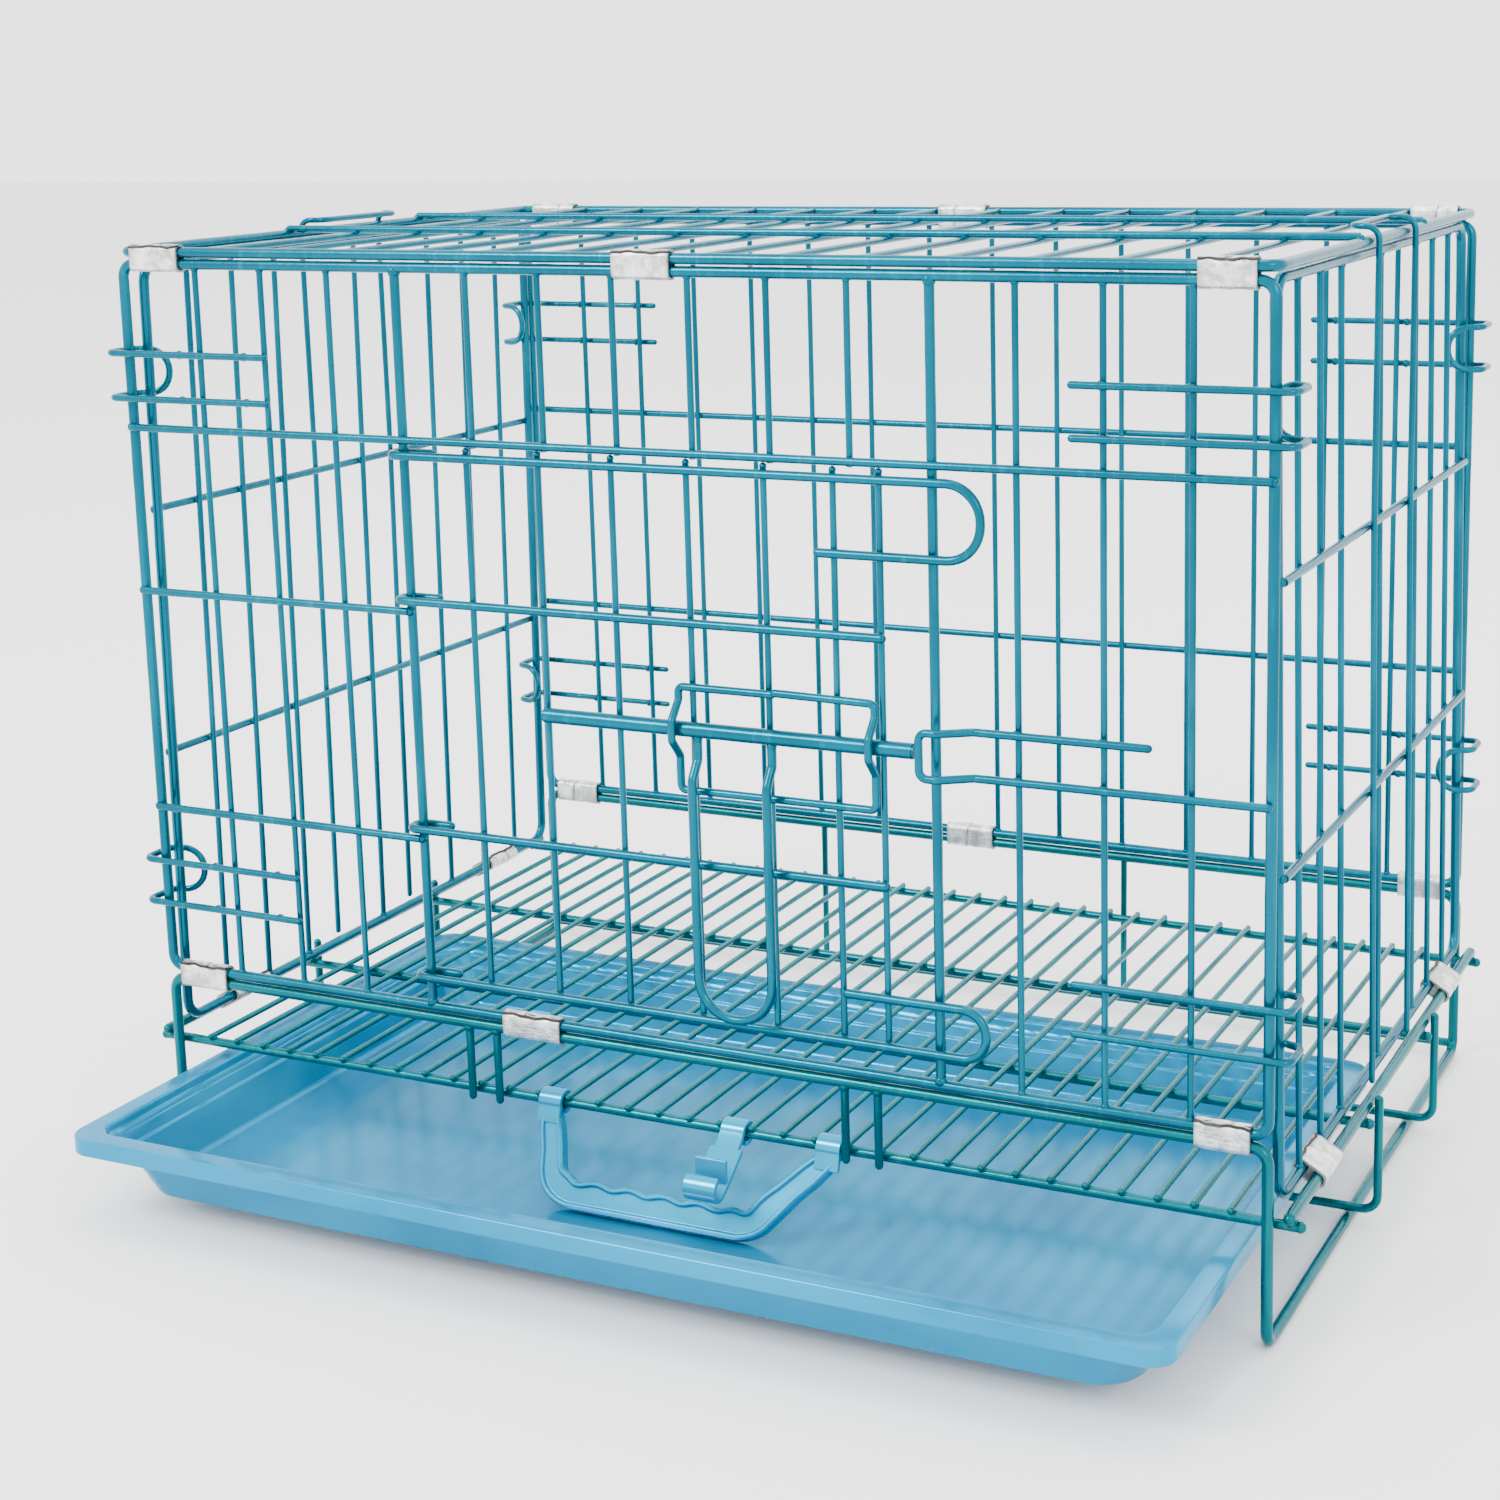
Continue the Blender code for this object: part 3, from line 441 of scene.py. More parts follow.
def makeBaseFrame():
    low = gauge["base"]
    corners = []
    for x, y in ((-1, -1), (1, -1), (1, 1), (-1, 1)):
        upper = (x * postX, y * postY, cage["railZ"])
        lower = (x * postX, y * postY, low)
        corners += [upper, lower] if x == -y else [lower, upper]
    lines = Skeleton()
    lines.wire(bent(corners, 0.006, closed=True), gauge["base"], closed=True)
    backY = postY - 0.0010
    lowZ = 2 * low + gauge["cross"] - 0.0008
    lines.wire([(-postX, backY, lowZ), (postX, backY, lowZ)], gauge["cross"])
    for x in (-0.0890, -0.0764, 0.0746, 0.0880):
        lines.wire([(x, -postY, cage["railZ"]), (x, -postY, cage["grateZ"] - 0.0018)], 0.0016)
        lines.bead((x, -postY, cage["railZ"] - 0.0018), 0.0022)
    for x in (-0.0770, 0.0793):
        lines.wire([(x, postY, cage["railZ"]), (x, backY, lowZ)], 0.0015)
    lines.finish("baseFrameWire", "base_frame", "basePaint", sides=14)


grate = {"pitch": 0.01339, "count": 34, "crossY": (-0.145, -0.0485, 0.0485, 0.145)}


def makeGrate():
    lines = Skeleton()
    reach = grate["crossY"][-1] + 0.0025
    for side in (-1, 1):
        lines.wire([(side * cage["rodX"], y, cage["rodZ"]) for y in (-reach, reach)], gauge["rod"])
    for y in grate["crossY"]:
        end = cage["rodX"] + 0.0032
        lines.wire([(-end, y, cage["grateZ"]), (end, y, cage["grateZ"])], gauge["cross"], tip=1.12)
        for side in (-1, 1):
            lines.bead((side * cage["rodX"], y, (cage["rodZ"] + cage["grateZ"]) / 2), 0.0026)
    wireZ = cage["grateZ"] + gauge["cross"] + thin - 0.0006
    for x in spread(grate["count"], grate["pitch"]):
        end = grate["crossY"][-1] + 0.0014
        lines.wire([(x, -end, wireZ), (x, end, wireZ)], thin, tip=1.1)
        for y in grate["crossY"]:
            lines.bead((x, y, wireZ - 0.0011), 0.0018)
    lines.finish("floorGrateWire", "floor_grate", "basePaint", sides=10)


guide = {"z": 0.0066, "x": 0.24655, "y": {"tray_guide_front": -0.0380, "tray_guide_back": 0.0570}}


def makeTrayGuides():
    top = cage["rodZ"] + gauge["rod"]
    for node, y in guide["y"].items():
        side, low = guide["x"], guide["z"]
        corners = [(-side, y, top), (-side, y, low), (side, y, low), (side, y, top)]
        lines = Skeleton()
        lines.wire(bent(corners, 0.006), gauge["guide"])
        lines.finish(node.replace("tray_guide_", "trayGuide") + "Wire", node, "basePaint")


def makeFrontPanel():
    def at(u, v, w):
        return (u, -postY - w, v)

    bottom, top = cage["bottomZ"], cage["topZ"]
    bars = (0.3062, 0.2396, 0.1488)
    lines = Skeleton()
    corners = ((-postX, bottom), (postX, bottom), (postX, top), (-postX, top))
    frameLine = bent([at(x, z, 0) for x, z in corners], frameBend, closed=True)
    lines.wire(frameLine, gauge["frame"], closed=True)
    uprights = []
    for x in frontX:
        radius = gauge["post"] if x in (hingeX, strikeX) else thin
        low = bars[0] - 0.0022 if hingeX < x < strikeX else bottom
        uprights.append((x, low, top, radius))
    spans = [(z, -postX, postX if z == bars[0] else hingeX) for z in bars]
    lines.grid(at, uprights, spans, (bottom, top), bar, lift)
    lines.finish("frontPanelWire", "front_panel", "panelPaint")


def makeBackPanel():
    def at(u, v, w):
        return (u, postY + w, v)

    bottom, top = cage["bottomZ"], cage["topZ"]
    lines = Skeleton()
    corners = ((-postX, bottom), (postX, bottom), (postX, top), (-postX, top))
    frameLine = bent([at(x, z, 0) for x, z in corners], frameBend, closed=True)
    lines.wire(frameLine, gauge["frame"], closed=True)
    uprights = [(x, bottom, top, thin) for x in spread(14, 2 * postX / 15)]
    lines.grid(at, uprights, [(z, -postX, postX) for z in (0.2757, 0.1763)], (bottom, top), bar, lift)
    lines.finish("backPanelWire", "back_panel", "panelPaint")


def makeTopPanel():
    def at(u, v, w):
        return (u, v, cage["roofZ"] + w)

    lines = Skeleton()
    corners = ((-postX, -postY), (postX, -postY), (postX, postY), (-postX, postY))
    frameLine = bent([at(x, y, 0) for x, y in corners], frameBend, closed=True)
    lines.wire(frameLine, gauge["frame"], closed=True)
    uprights = [(x, -postY, postY, thin) for x in frontX]
    lines.grid(at, uprights, [(y, -postX, postX) for y in (-0.0420, 0.0560)], (-postY, postY), bar, lift)
    lines.finish("topPanelWire", "top_panel", "panelPaint")


sideWires = {"pitch": 0.0287, "count": 9, "bars": (0.2710, 0.1690)}


def leanX(z):
    # the side panels stand in a little at the top
    return cage["sideX"] - cage["lean"] * (z - cage["sideZ"]) / (cage["sideTopZ"] - cage["sideZ"])


def makeSidePanel(word, side):
    def at(u, v, w):
        return (side * (leanX(v) + w), u, v)

    sideY, bottom, top = cage["sideY"], cage["sideZ"], cage["sideTopZ"]
    lines = Skeleton()
    corners = [at(y, z, 0) for y, z in ((-sideY, bottom), (sideY, bottom), (sideY, top), (-sideY, top))]
    lines.wire(bent(corners, 0.008, closed=True), gauge["frame"], closed=True)
    uprights = [
        (y, bottom, top, thin)
        for y in spread(sideWires["count"], sideWires["pitch"])
        if abs(abs(y) - sideWires["pitch"]) > 0.001
    ]
    lines.grid(at, uprights, [(z, -sideY, sideY) for z in sideWires["bars"]], (bottom, top), bar, lift)
    lines.finish(word + "SideWire", word + "_side_panel", "panelPaint")


def makeLockLoop(word, side):
    reach = sideWires["pitch"]
    outerX = postX + gauge["frame"] + gauge["loop"] + 0.0003
    overZ = cage["roofZ"] + gauge["frame"] + gauge["loop"] + 0.0020
    lowZ = cage["sideZ"] + gauge["frame"] + 0.0003
    leaveZ = sideWires["bars"][0] + 0.00265
    outline = [(leanX(lowZ) + 0.00495, lowZ), (leanX(leaveZ) + 0.00495, leaveZ)]
    outline += [(outerX, overZ), (postX - 0.0070, overZ)]
    corners = [(side * x, -reach, z) for x, z in outline]
    corners += [(side * x, reach, z) for x, z in reversed(outline)]
    lines = Skeleton()
    lines.wire(bent(corners, 0.005, steps=5), gauge["loop"])
    lines.finish(word + "LockLoopWire", word + "_lock_loop", "panelPaint")


hook = {
    "endX": 0.166, "turnX": 0.243, "lobe": (0.0135, 0.0045),
    "heights": {("front", "upper"): (0.336, 0.318), ("front", "lower"): (0.126, 0.108),
                ("back", "upper"): (0.329, 0.311), ("back", "lower"): (0.145, 0.127)},
}


def makeCornerHooks():
    outerY = postY + gauge["frame"] + gauge["hook"] + 0.0003
    innerY = cage["sideY"] - gauge["frame"] - gauge["hook"] - 0.0003
    lobeX, lobeY = hook["turnX"] - hook["lobe"][0], innerY - hook["lobe"][1]
    plan = [(hook["endX"], outerY), (hook["turnX"], outerY), (hook["turnX"], innerY), (lobeX, lobeY)]
    bends = [0.004] * 3 + [0.0087] * 2 + [0.004] * 3
    for (depth, level), (upper, lower) in hook["heights"].items():
        for word, side in (("left", -1), ("right", 1)):
            front = -1 if depth == "front" else 1
            corners = [(side * x, front * y, upper) for x, y in plan]
            corners += [(side * x, front * y, lower) for x, y in reversed(plan)]
            lines = Skeleton()
            lines.wire(bent(corners, bends, steps=7), gauge["hook"], longest=0.006)
            for x in (0.1760, 0.2073):
                for z in (upper, lower):
                    lines.bead((side * x, front * (outerY - 0.0008), z), 0.0018)
            name = f"hook{depth.title()}{word.title()}{level.title()}"
            lines.finish(name, f"hook_{depth}_{word}_{level}", "panelPaint", sides=10)


# door, latch and catch
door = {
    "y": -postY - 0.0042, "bars": (0.3005, 0.2442, 0.1532, 0.0925), "right": 0.133,
    "wires": (-0.0764, -0.0451, -0.0138, 0.0175, 0.0488, 0.0761, 0.0939),
    "returns": {0: (0.0708, -0.0270, 0.0130), 3: (0.0787, 0.0185, 0.0090)},
}
doorWireY = door["y"] + 0.0024
boltSpot = {"x": -0.044, "y": doorWireY - 0.0043, "z": 0.205, "length": 0.152}
bracketY = doorWireY - thin - 0.0018


def makeDoor():
    reach = 0.0042
    y = door["y"]
    lines = Skeleton()
    for index, z in enumerate(door["bars"]):
        tail = [(hingeX + 0.010, -postY + reach, z), (hingeX - reach, -postY + reach, z)]
        tail += [(hingeX - reach, y, z), (hingeX + 0.03, y, z)]
        route = bent(tail, reach - 0.0001, steps=8)
        if index in (0, 3):
            endX, rise, bend = door["returns"][index]
            ends = [(door["right"], y, z), (door["right"], y, z + rise), (endX, y, z + rise)]
            route += bent([route[-1]] + ends, bend, steps=9)[1:]
        else:
            route.append(Vector((door["wires"][-1] + 0.0011, y, z)))
        lines.wire(route, gauge["door"], longest=0.007)
        for x in door["wires"]:
            lines.bead((x, y + 0.0013, z), 0.0020)
    for x in door["wires"]:
        ends = [(x, doorWireY, door["bars"][3] - 0.0006), (x, doorWireY, door["bars"][0] + 0.0026)]
        lines.wire(ends, thin, tip=1.15)
    lines.finish("doorWire", "door_panel", "panelPaint")


bracket = {"x": (0.013, 0.092), "z": (0.1815, 0.2205), "joint": 0.052}


def makeBracket():
    left, right = bracket["x"]
    low, high = bracket["z"]
    boltZ = boltSpot["z"]
    bulgeY = boltSpot["y"] - gauge["bolt"] - 0.0003 - gauge["bracket"]
    corners = [(bracket["joint"] + 0.0006, bracketY, high + 0.0006)]
    for x, levels in ((right, (high, low)), (left, (low, high))):
        lean = 1 if levels[0] > levels[1] else -1
        corners.append((x, bracketY, levels[0]))
        corners.append((x, bracketY, boltZ + lean * 0.0105))
        corners.append((x, bulgeY, boltZ + lean * 0.0035))
        corners.append((x, bulgeY, boltZ - lean * 0.0035))
        corners.append((x, bracketY, boltZ - lean * 0.0105))
        corners.append((x, bracketY, levels[1]))
    corners.append((bracket["joint"] - 0.0006, bracketY, high))
    lines = Skeleton()
    lines.wire(bent(corners, 0.0022, steps=4), gauge["bracket"], longest=0.005)
    lines.finish("latchBracketWire", "latch_bracket", "panelPaint")


def makeBolt():
    lines = Skeleton()
    ends = (boltSpot["x"] + 0.0006, boltSpot["x"] + boltSpot["length"] - 0.0006)
    lines.wire([(x, boltSpot["y"], boltSpot["z"]) for x in ends], gauge["bolt"], longest=0.004, tip=0)
    for x, inward in ((ends[0], 1), (ends[1], -1)):
        y, z = boltSpot["y"], boltSpot["z"]
        lines.wire([(x, y, z), (x - inward * 0.0006, y, z)], gauge["bolt"] * 0.88, tip=0)
    lines.finish("latchBoltRod", "latch_bolt", "panelPaint", sides=24, ripple=0.00022)


pull = {"x": (0.0210, 0.0514), "bottom": 0.097}


def makePull():
    boltY, boltZ = boltSpot["y"], boltSpot["z"]
    frontY = bracketY - gauge["bracket"] - gauge["pull"] - 0.0028
    top = boltZ - gauge["bolt"] - 0.0003
    outline = [(boltY, top), (boltY, boltZ - 0.011), (frontY, boltZ - 0.018), (frontY, pull["bottom"])]
    left, right = pull["x"]
    corners = [(left, y, z) for y, z in outline] + [(right, y, z) for y, z in reversed(outline)]
    bends = [0.004] * 3 + [0.015] * 2 + [0.004] * 3
    lines = Skeleton()
    lines.wire(bent(corners, bends, steps=8), gauge["pull"], longest=0.006, tip=0)
    for x in pull["x"]:
        lines.bead((x, boltY, top - 0.0003), 0.0020)
    lines.finish("latchPullWire", "latch_handle", "panelPaint")


def makeCatch():
    flatY = -postY - gauge["post"] - 0.0003 - gauge["bracket"]
    bulgeY = boltSpot["y"] - gauge["bolt"] - 0.0003 - gauge["bracket"]
    upper, lower = 0.2133, 0.1967
    left = strikeX - 0.0020
    flat, bulge = left + 0.018, left + 0.007  # where the arms leave the panel and stand clear of it
    corners = [(0.193, flatY, upper), (flat, flatY, upper), (bulge, bulgeY, upper), (left, bulgeY, upper)]
    corners += [(left, bulgeY, lower), (bulge, bulgeY, lower), (flat, flatY, lower), (postX, flatY, lower)]
    lines = Skeleton()
    lines.wire(bent(corners, 0.003, steps=5), gauge["bracket"], longest=0.006)
    for x in (frontX[11], frontX[12]):
        for z in (upper, lower):
            lines.bead((x, flatY + 0.0012, z), 0.0018)
    lines.finish("boltCatchWire", "bolt_catch", "panelPaint")


makeBaseFrame()
makeGrate()
makeTrayGuides()
makeFrontPanel()
makeBackPanel()
makeTopPanel()
for word, side in (("left", -1), ("right", 1)):
    makeSidePanel(word, side)
    makeLockLoop(word, side)
makeCornerHooks()
makeDoor()
makeBracket()
makeBolt()
makePull()
makeCatch()
print("wire pieces made")


# helpers for solid pieces
def newPiece(name, mesh, material, angle=40):
    bmesh.ops.remove_doubles(mesh, verts=mesh.verts, dist=0.000001)
    bmesh.ops.recalc_face_normals(mesh, faces=mesh.faces)
    data = bpy.data.meshes.new(name)
    mesh.to_mesh(data)
    mesh.free()
    data.shade_smooth()
    data.set_sharp_from_angle(angle=math.radians(angle))
    data.materials.append(material)
    piece = bpy.data.objects.new(name, data)
    bpy.context.scene.collection.objects.link(piece)
    return piece


def joinRings(mesh, rings, closed=True):
    for low, high in zip(rings, rings[1:]):
        count = len(low)
        for step in range(count if closed else count - 1):
            after = (step + 1) % count
            mesh.faces.new((low[step], low[after], high[after], high[step]))


# crimped clips
clip = {"wall": 0.0008, "slack": 0.0003, "along": 26, "around": 48, "lap": 0.0008}


def makeClip(node, at, span, first, second, wireR, seed):
    # a strip wrapped round two rails, its free edge lapped over and pressed down in scallops
    first, second = Vector(first), Vector(second)
    axis = (second - first).normalized()
    across = Vector((-axis.y, axis.x))
    middle = (first + second) / 2
    half = (second - first).length / 2
    mesh = bmesh.new()
    crease = mesh.verts.layers.float.new("crease")
    rows = []
    notch = 0.35 + 0.3 * (0.5 + 0.5 * math.sin(3 * seed))
    for i in range(clip["along"] + 1):
        t = i / clip["along"]
        s = span[0] + (span[1] - span[0]) * t
        outerRow, innerRow = [], []
        edge = 0.10 * math.sin(9 * t + seed) + 0.05 * math.sin(23 * t + 2 * seed)
        for j in range(clip["around"] + 1):
            turn = j / clip["around"]
            angle = math.pi * 0.62 + 2 * math.pi * 1.09 * turn + edge * (turn > 0.5) * (2 * turn - 1)
            along = math.sin(angle)
            side = math.cos(angle)
            pinch = 1 - 0.13 * math.exp(-((along / 0.32) ** 2))
            dent = 1 + 0.09 * math.sin(17 * t + 5 * turn + seed) * math.sin(11 * turn + 3 * seed)
            dent += 0.16 * math.exp(-(((t - notch) / 0.035) ** 2)) * math.sin(6 * turn + seed)
            flare = 1 + 0.06 * math.exp(-min(t, 1 - t) * 22)
            bore = wireR + clip["slack"]
            lap = clip["lap"] * max(0.0, (turn - 0.93) / 0.07)
            spot = middle + axis * (math.copysign(half, along) * min(1, abs(along) * 2.2))
            direction = (axis * along + across * side * pinch).normalized()
            spot = spot + direction * bore * pinch
            thick = clip["wall"] * dent * flare + lap
            outerPoint = spot + direction * thick
            for row, point in ((outerRow, outerPoint), (innerRow, spot + direction * lap * 0.9)):
                vert = mesh.verts.new(at(s, point))
                vert.co.y += midY
                offset = t - notch - 0.03 * math.sin(9 * turn)
                seam = 0.9 * math.exp(-((offset / 0.022) ** 2)) * (turn > 0.45)
                edges = 0.6 * math.exp(-min(t, 1 - t) * 34)
                # this mask marks where painted shade goes: the lapped edge, the crimp seam and the strip's
                # ends
                vert[crease] = 1.0 if turn > 0.955 or turn < 0.03 else max(seam, edges)
                row.append(vert)
        rows.append(outerRow + list(reversed(innerRow)))
    joinRings(mesh, rows)
    count = clip["around"]
    for row in (rows[0], rows[-1]):
        for step in range(count):
            mesh.faces.new((row[step], row[step + 1], row[2 * count - step], row[2 * count + 1 - step]))
    name = "".join(word.title() for word in node.split("_"))
    piece = newPiece("c" + name[1:], mesh, clipSteel, 50)
    return settle(piece, node)


def makeClips():
    spans = {"left": (-0.2292, -0.2060), "middle": (-0.0098, 0.0136), "right": (0.2093, 0.2292)}
    seed = 0.7
    for rail, y, low, high, radius in (
        ("front_top", -postY, cage["topZ"], cage["roofZ"], gauge["frame"]),
        ("back_top", postY, cage["topZ"], cage["roofZ"], gauge["frame"]),
        ("front_base", -postY, cage["railZ"], cage["bottomZ"], gauge["base"]),
        ("back_base", postY, cage["railZ"], cage["bottomZ"], gauge["base"]),
    ):
        for where, span in spans.items():
            if rail == "front_base" and where == "middle":
                span = (-0.0715, -0.0460)
            facing = 1 if y > 0 else -1
            at = lambda s, point, y=y, facing=facing: (s, y + facing * point.x, point.y)
            makeClip(f"clip_{rail}_{where}", at, span, (0, low), (0, high), radius, seed)
            seed += 1.3
    for word, side in (("left", -1), ("right", 1)):
        for where, middle in (("front", -3.5 * sideWires["pitch"]), ("back", 3.5 * sideWires["pitch"])):
            at = lambda s, point, side=side: (side * point.x, s, point.y)
            rod, rail = (cage["rodX"], cage["rodZ"]), (cage["sideX"], cage["sideZ"])
            span = (middle - 0.0118, middle + 0.0118)
            makeClip(f"clip_{word}_{where}", at, span, rod, rail, gauge["rod"], seed)
            seed += 1.3


makeClips()
print("clips made")


# tray
tray = {"halfX": 0.2264, "length": 0.2650, "frontY": -postY - 0.0815, "bottom": 0.00865,
        "top": 0.037, "corner": 9}


def roundedRectangle(halfX, lowY, highY, radius, z):
    points = []
    for x, y, quarter in ((halfX, highY, 0), (-halfX, highY, 1), (-halfX, lowY, 2), (halfX, lowY, 3)):
        centre = Vector((x - math.copysign(radius, x), y + (radius if quarter > 1 else -radius), z))
        for step in range(tray["corner"] + 1):
            angle = math.pi / 2 * (quarter + step / tray["corner"])
            points.append(centre + Vector((math.cos(angle), math.sin(angle), 0)) * radius)
    return points


def makeTray():
    # one moulding, followed from the middle of the underside round the rim to the middle of the floor
    bottom, top = tray["bottom"], tray["top"]
    backY = tray["frontY"] + tray["length"]
    section = [
        (0.0218, bottom, 0.0150), (0.0205, bottom + 0.0003, 0.0155), (0.0192, bottom + 0.0014, 0.0165),
        (0.0112, top - 0.0050, 0.0140), (0.0096, top - 0.0028, 0.0130), (0.0080, top - 0.0020, 0.0115),
        (0.0020, top - 0.0020, 0.0090), (0.0016, top - 0.0023, 0.0090), (0.0015, top - 0.0066, 0.0090),
        (0.0012, top - 0.0069, 0.0092), (0.0003, top - 0.0069, 0.0098), (0.0000, top - 0.0066, 0.0100),
        (0.0000, top - 0.0008, 0.0100), (0.0002, top - 0.0003, 0.0098), (0.0008, top, 0.0094),
        (0.0080, top, 0.0085), (0.0087, top - 0.0003, 0.0086), (0.0092, top - 0.0010, 0.0088),
        (0.0102, top - 0.0046, 0.0092), (0.0106, top - 0.0050, 0.0096), (0.0114, top - 0.0052, 0.0100),
        (0.0120, top - 0.0058, 0.0103), (0.0134, top - 0.0096, 0.0108), (0.0138, top - 0.0100, 0.0112),
        (0.0144, top - 0.0102, 0.0115), (0.0149, top - 0.0108, 0.0118), (0.0204, bottom + 0.0042, 0.0138),
        (0.0213, bottom + 0.0028, 0.0142), (0.0230, bottom + 0.0020, 0.0150),
    ]
    mesh = bmesh.new()
    rings = []
    for inset, z, radius in section:
        outline = roundedRectangle(tray["halfX"] - inset, tray["frontY"] + inset, backY - inset, radius, z)
        rings.append([mesh.verts.new((p.x, p.y + midY, p.z)) for p in outline])
    joinRings(mesh, rings)
    for ring in (rings[0], rings[-1]):
        # floor and underside go in by shrinking rings, so that a little sag can be given
        centre = sum((v.co for v in ring), Vector()) / len(ring)
        inner = [ring]
        for share in (0.96, 0.85, 0.6, 0.3):
            drop = -0.0004 * (1 - share)
            new = [mesh.verts.new(centre + (v.co - centre) * share + Vector((0, 0, -drop))) for v in ring]
            inner.append(new)
        joinRings(mesh, inner)
        mesh.faces.new(inner[-1])
    piece = newPiece("trayShell", mesh, plastics["trayPlastic"], 60)
    flat = piece.modifiers.new("flatFaces", "WEIGHTED_NORMAL")
    flat.weight = 100
    settle(piece, "tray")


makeTray()
print("tray made")


# carry handle and tray buckle
grip = {"left": -4 * grate["pitch"], "right": 5 * grate["pitch"], "low": (-0.0440, 0.0400), "reach": 0.0334,
        "lean": math.radians(32), "armHalf": 0.0048, "gripHalf": 0.0064, "thick": 0.0060}
buckle = {"x": 2 * grate["pitch"], "half": 0.0068, "lean": math.radians(57)}
snap = {"inner": 0.0029, "wall": 0.0020, "width": 0.0100}


def hanging(lean):
    pivot = Vector((0, grate["crossY"][0] + midY, cage["grateZ"]))

    def at(x, outward, down):
        y = -outward * math.cos(lean) - down * math.sin(lean)
        z = outward * math.sin(lean) - down * math.cos(lean)
        return pivot + Vector((x, y, z))

    return at


def ribbon(mesh, line, thickness, lowX, highX, at):
    # a strip drawn in (outward, down) and given a width along x
    left, right = [], []
    for index, point in enumerate(line):
        before = line[max(index - 1, 0)]
        after = line[min(index + 1, len(line) - 1)]
        along = (after - before).normalized()
        across = Vector((-along.y, along.x)) * (thickness / 2)
        left.append(point + across)
        right.append(point - across)
    outline = left + list(reversed(right))
    ends = [[mesh.verts.new(at(x, *point)) for point in outline] for x in (lowX, highX)]
    joinRings(mesh, ends)
    count = len(outline)
    for end in ends:
        for step in range(len(left) - 1):
            mirror = count - 1 - step
            mesh.faces.new((end[step], end[step + 1], end[mirror - 1], end[mirror]))


def snapLine(steps=26):
    radius = snap["inner"] + snap["wall"] / 2
    line = []
    for step in range(steps + 1):
        angle = math.radians(-60 + 285 * step / steps)
        line.append(Vector((-radius * math.cos(angle), -radius * math.sin(angle))))
    return line


def soften(piece, width, segments=3):
    bevel = piece.modifiers.new("edges", "BEVEL")
    bevel.width = width
    bevel.segments = segments
    bevel.limit_method = "ANGLE"
    bevel.angle_limit = math.radians(50)
    bevel.harden_normals = True


def makeHandle():
    # the strap is an I-beam: two raised edges and a sunk web, wavy along the fingers' side
    at = hanging(grip["lean"])
    top = snap["inner"] + snap["wall"] * 0.9  # the slanted ends stay clear of the grate wire
    lowLeft, lowRight = grip["low"]
    reach = grip["reach"]
    outline = [(grip["left"], top, 0), (lowLeft, reach, 0), (lowRight, reach, 0), (grip["right"], top, 0)]
    route = bent(outline, 0.0120, steps=14)
    fine = [route[0]]
    for low, high in zip(route, route[1:]):
        pieces = max(1, math.ceil((high - low).length / 0.0018))
        fine += [low.lerp(high, step / pieces) for step in range(1, pieces + 1)]
    mesh = bmesh.new()
    rings = []
    count = len(fine)
    for index, point in enumerate(fine):
        before = fine[max(index - 1, 0)]
        after = fine[min(index + 1, count - 1)]
        along = (after - before).normalized()
        side = Vector((-along.y, along.x, 0))
        if side.y > 0:
            side = -side  # towards the wire, the inside of the loop
        share = max(0.0, min(1.0, (point.y - 0.018) / 0.012))
        inner = grip["armHalf"] + 0.0007 * math.sin(point.x * 420) * share
        outer = grip["armHalf"] + (grip["gripHalf"] - grip["armHalf"]) * share
        neck = min(1.0, (point.y - top) / 0.030 + 0.78)
        half = grip["thick"] / 2
        web = 0.0013
        edge = 0.0021
        ring = []
        rim = edge + 0.0002
        lip = edge - 0.0004
        front = [
            (inner, half - 0.0007), (inner - 0.0007, half), (inner - lip, half), (inner - rim, web + 0.0003),
            (rim - outer, web + 0.0003), (lip - outer, half), (0.0007 - outer, half), (-outer, half - 0.0007),
        ]
        section = front + [(across, -deep) for across, deep in reversed(front)]
        for across, deep in section:
            spot = point + side * across * neck
            ring.append(mesh.verts.new(at(spot.x, -deep, spot.y)))
        rings.append(ring)
    joinRings(mesh, rings)
    mesh.faces.new(rings[0])
    mesh.faces.new(rings[-1])
    for middle in (grip["left"], grip["right"]):
        line = snapLine() + [Vector((0.0022, 0.0055)), Vector((0.0014, 0.0090))]
        ribbon(mesh, line, snap["wall"], middle - snap["width"] / 2, middle + snap["width"] / 2, at)
    piece = newPiece("carryHandleMoulding", mesh, plastics["handlePlastic"], 32)
    soften(piece, 0.0003)
    settle(piece, "carry_handle")


def makeBuckle():
    at = hanging(buckle["lean"])
    mesh = bmesh.new()
    x, half = buckle["x"], buckle["half"]
    tongue = snapLine() + [Vector((0.0020, 0.0060)), Vector((0.0014, 0.0130))]
    ribbon(mesh, tongue, snap["wall"], x - 0.005, x + 0.005, at)
    stem = ((0.0018, 0.0092), (0.0014, 0.0150), (0.0010, 0.0210), (0.0010, 0.0270))
    line = [Vector(point) for point in stem]
    for step in range(13):
        angle = math.pi * step / 12
        line.append(Vector((0.0051 - 0.0041 * math.cos(angle), 0.0290 + 0.0041 * math.sin(angle))))
    line.append(Vector((0.0094, 0.0272)))
    ribbon(mesh, line, snap["wall"], x - half, x + half, at)
    hook = ((0.0010, 0.0240), (0.0040, 0.0229), (0.0066, 0.0214), (0.0095, 0.0190))
    jaw = [Vector(point) for point in hook]
    ribbon(mesh, jaw, snap["wall"] * 0.9, x - half + 0.0003, x + half - 0.0003, at)
    piece = newPiece("trayBuckleMoulding", mesh, plastics["handlePlastic"], 32)
    soften(piece, 0.0004)
    settle(piece, "tray_buckle")


makeHandle()
makeBuckle()
print("handle and buckle made")


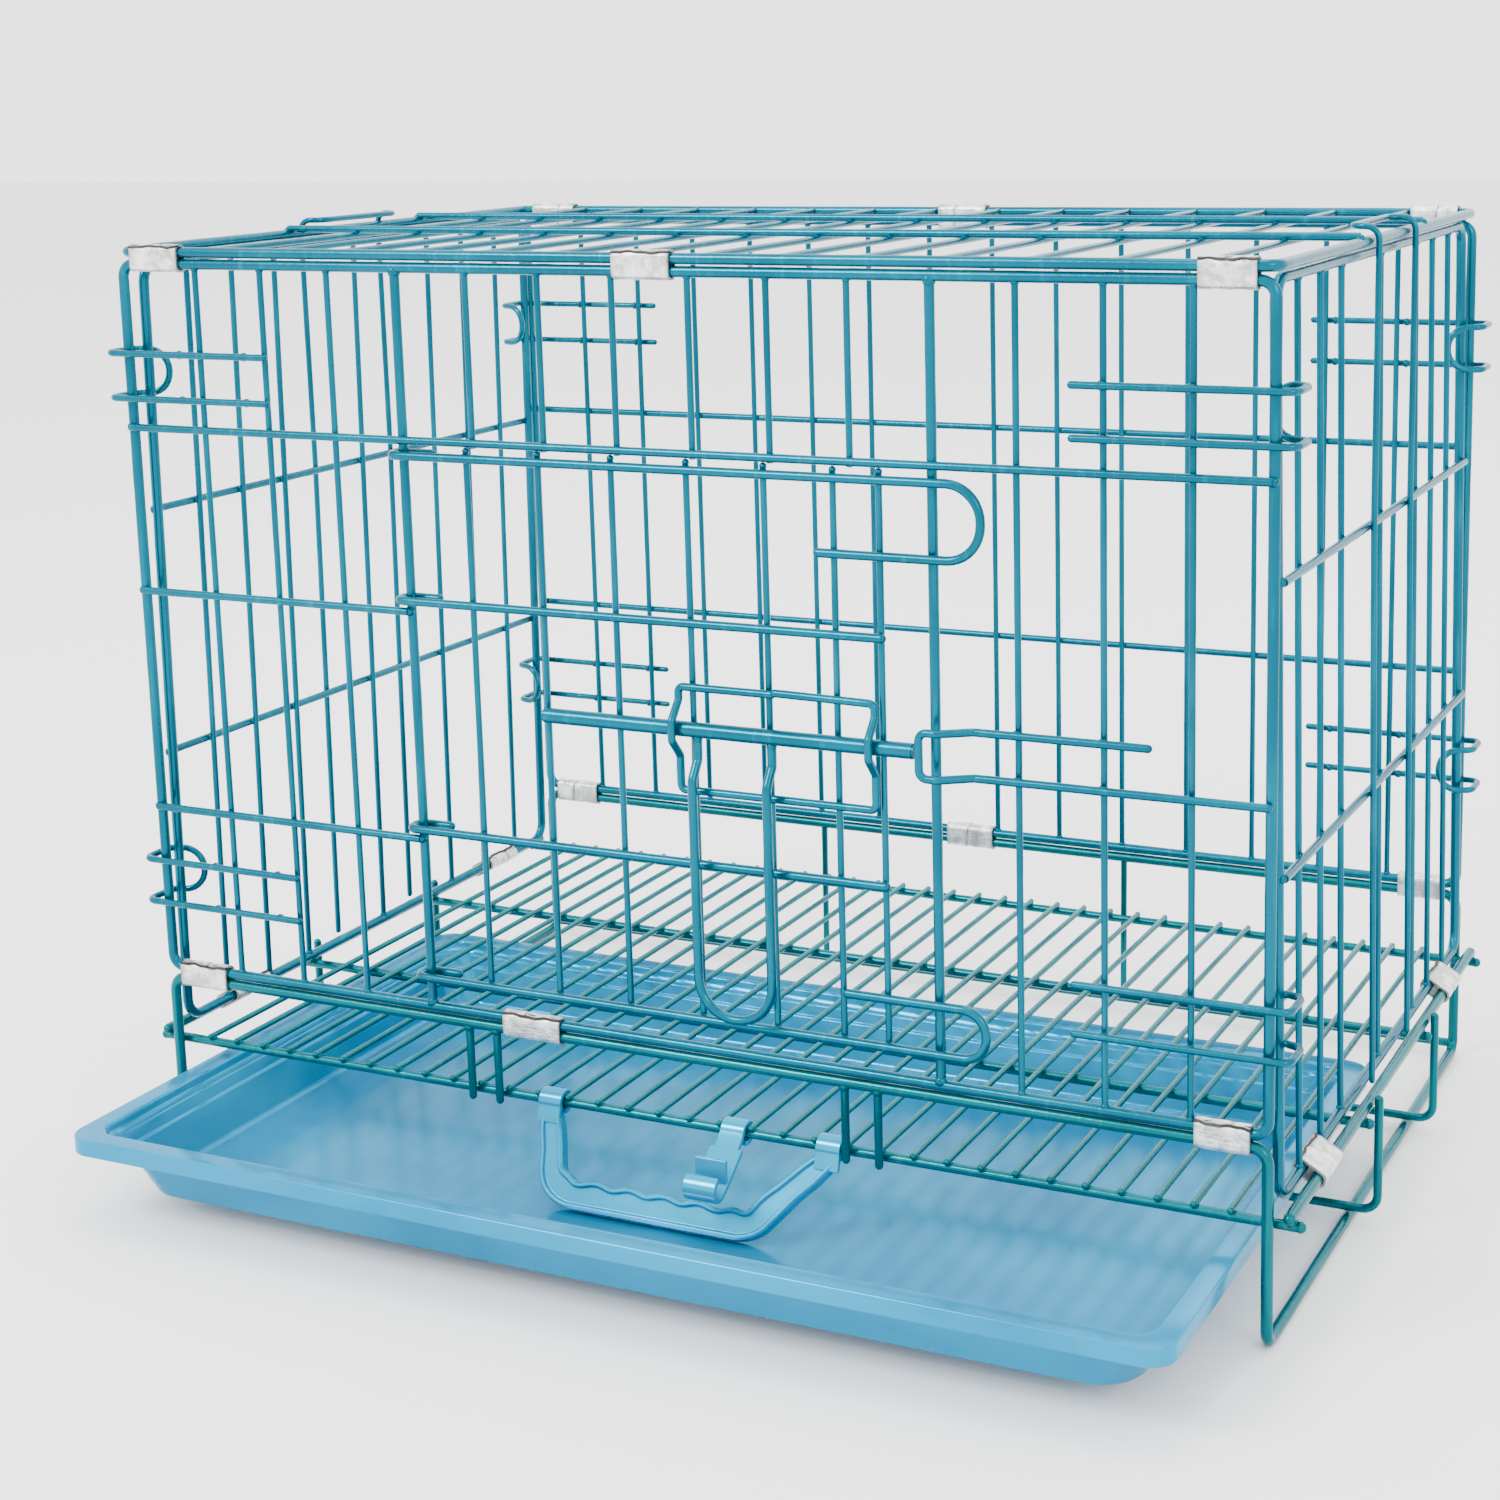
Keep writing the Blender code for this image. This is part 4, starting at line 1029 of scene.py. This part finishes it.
# floor, light and camera
studio = {
    "floor": (0.86, 0.86, 0.86), "world": 2.9,
    "lights": (
        ("keySoftbox", (-1.2, -1.7, 2.0), 0.8, 70.0), ("fillSoftbox", (1.8, -1.2, 1.3), 0.9, 16.0),
        ("backSoftbox", (0.2, 1.9, 1.6), 1.6, 12.0), ("topSoftbox", (0.0, 0.1, 2.4), 1.0, 22.0),
    ),
    "target": (0.0, 0.0, 0.17),
}
camera = {
    "place": (0.464195, -0.958935, 0.439243), "azimuth": 25.1916, "elevation": 10.8303, "roll": -1.2083,
    "lens": 61.957, "shift": (-0.07023, -0.12145),
}


def makeStudio():
    world = bpy.data.worlds.new("studio")
    world.use_nodes = True
    background = world.node_tree.nodes["Background"]
    background.inputs["Color"].default_value = (1.0, 1.0, 1.0, 1)
    background.inputs["Strength"].default_value = studio["world"]
    bpy.context.scene.world = world
    mesh = bmesh.new()
    bmesh.ops.create_grid(mesh, x_segments=2, y_segments=2, size=9.0)
    material, tree, shader = newMaterial("floorPaint")
    shader.inputs["Base Color"].default_value = (*studio["floor"], 1)
    shader.inputs["Roughness"].default_value = 0.9
    shader.inputs["Specular IOR Level"].default_value = 0.0
    floor = newPiece("floor", mesh, material)
    for vert in floor.data.vertices:
        vert.co.z -= 0.0002
    for name, spot, size, power in studio["lights"]:
        data = bpy.data.lights.new(name, "AREA")
        data.size = size
        data.energy = power
        lamp = bpy.data.objects.new(name, data)
        lamp.location = spot
        aim = Vector(studio["target"]) - Vector(spot)
        lamp.rotation_euler = aim.to_track_quat("-Z", "Y").to_euler()
        bpy.context.scene.collection.objects.link(lamp)


def makeCamera():
    data = bpy.data.cameras.new("view")
    data.sensor_width = 36
    data.lens = camera["lens"]
    data.shift_x, data.shift_y = camera["shift"]
    data.clip_start = 0.01
    eye = bpy.data.objects.new("view", data)
    x, y, z = camera["place"]
    eye.location = (x, y + midY, z)
    turn = Matrix.Rotation(math.radians(camera["azimuth"]), 3, "Z")
    tilt = Matrix.Rotation(math.radians(90 - camera["elevation"]), 3, "X")
    roll = Matrix.Rotation(math.radians(camera["roll"]), 3, "Z")
    eye.rotation_euler = (turn @ tilt @ roll).to_euler()
    bpy.context.scene.collection.objects.link(eye)
    bpy.context.scene.camera = eye


makeStudio()
makeCamera()
print("studio made")
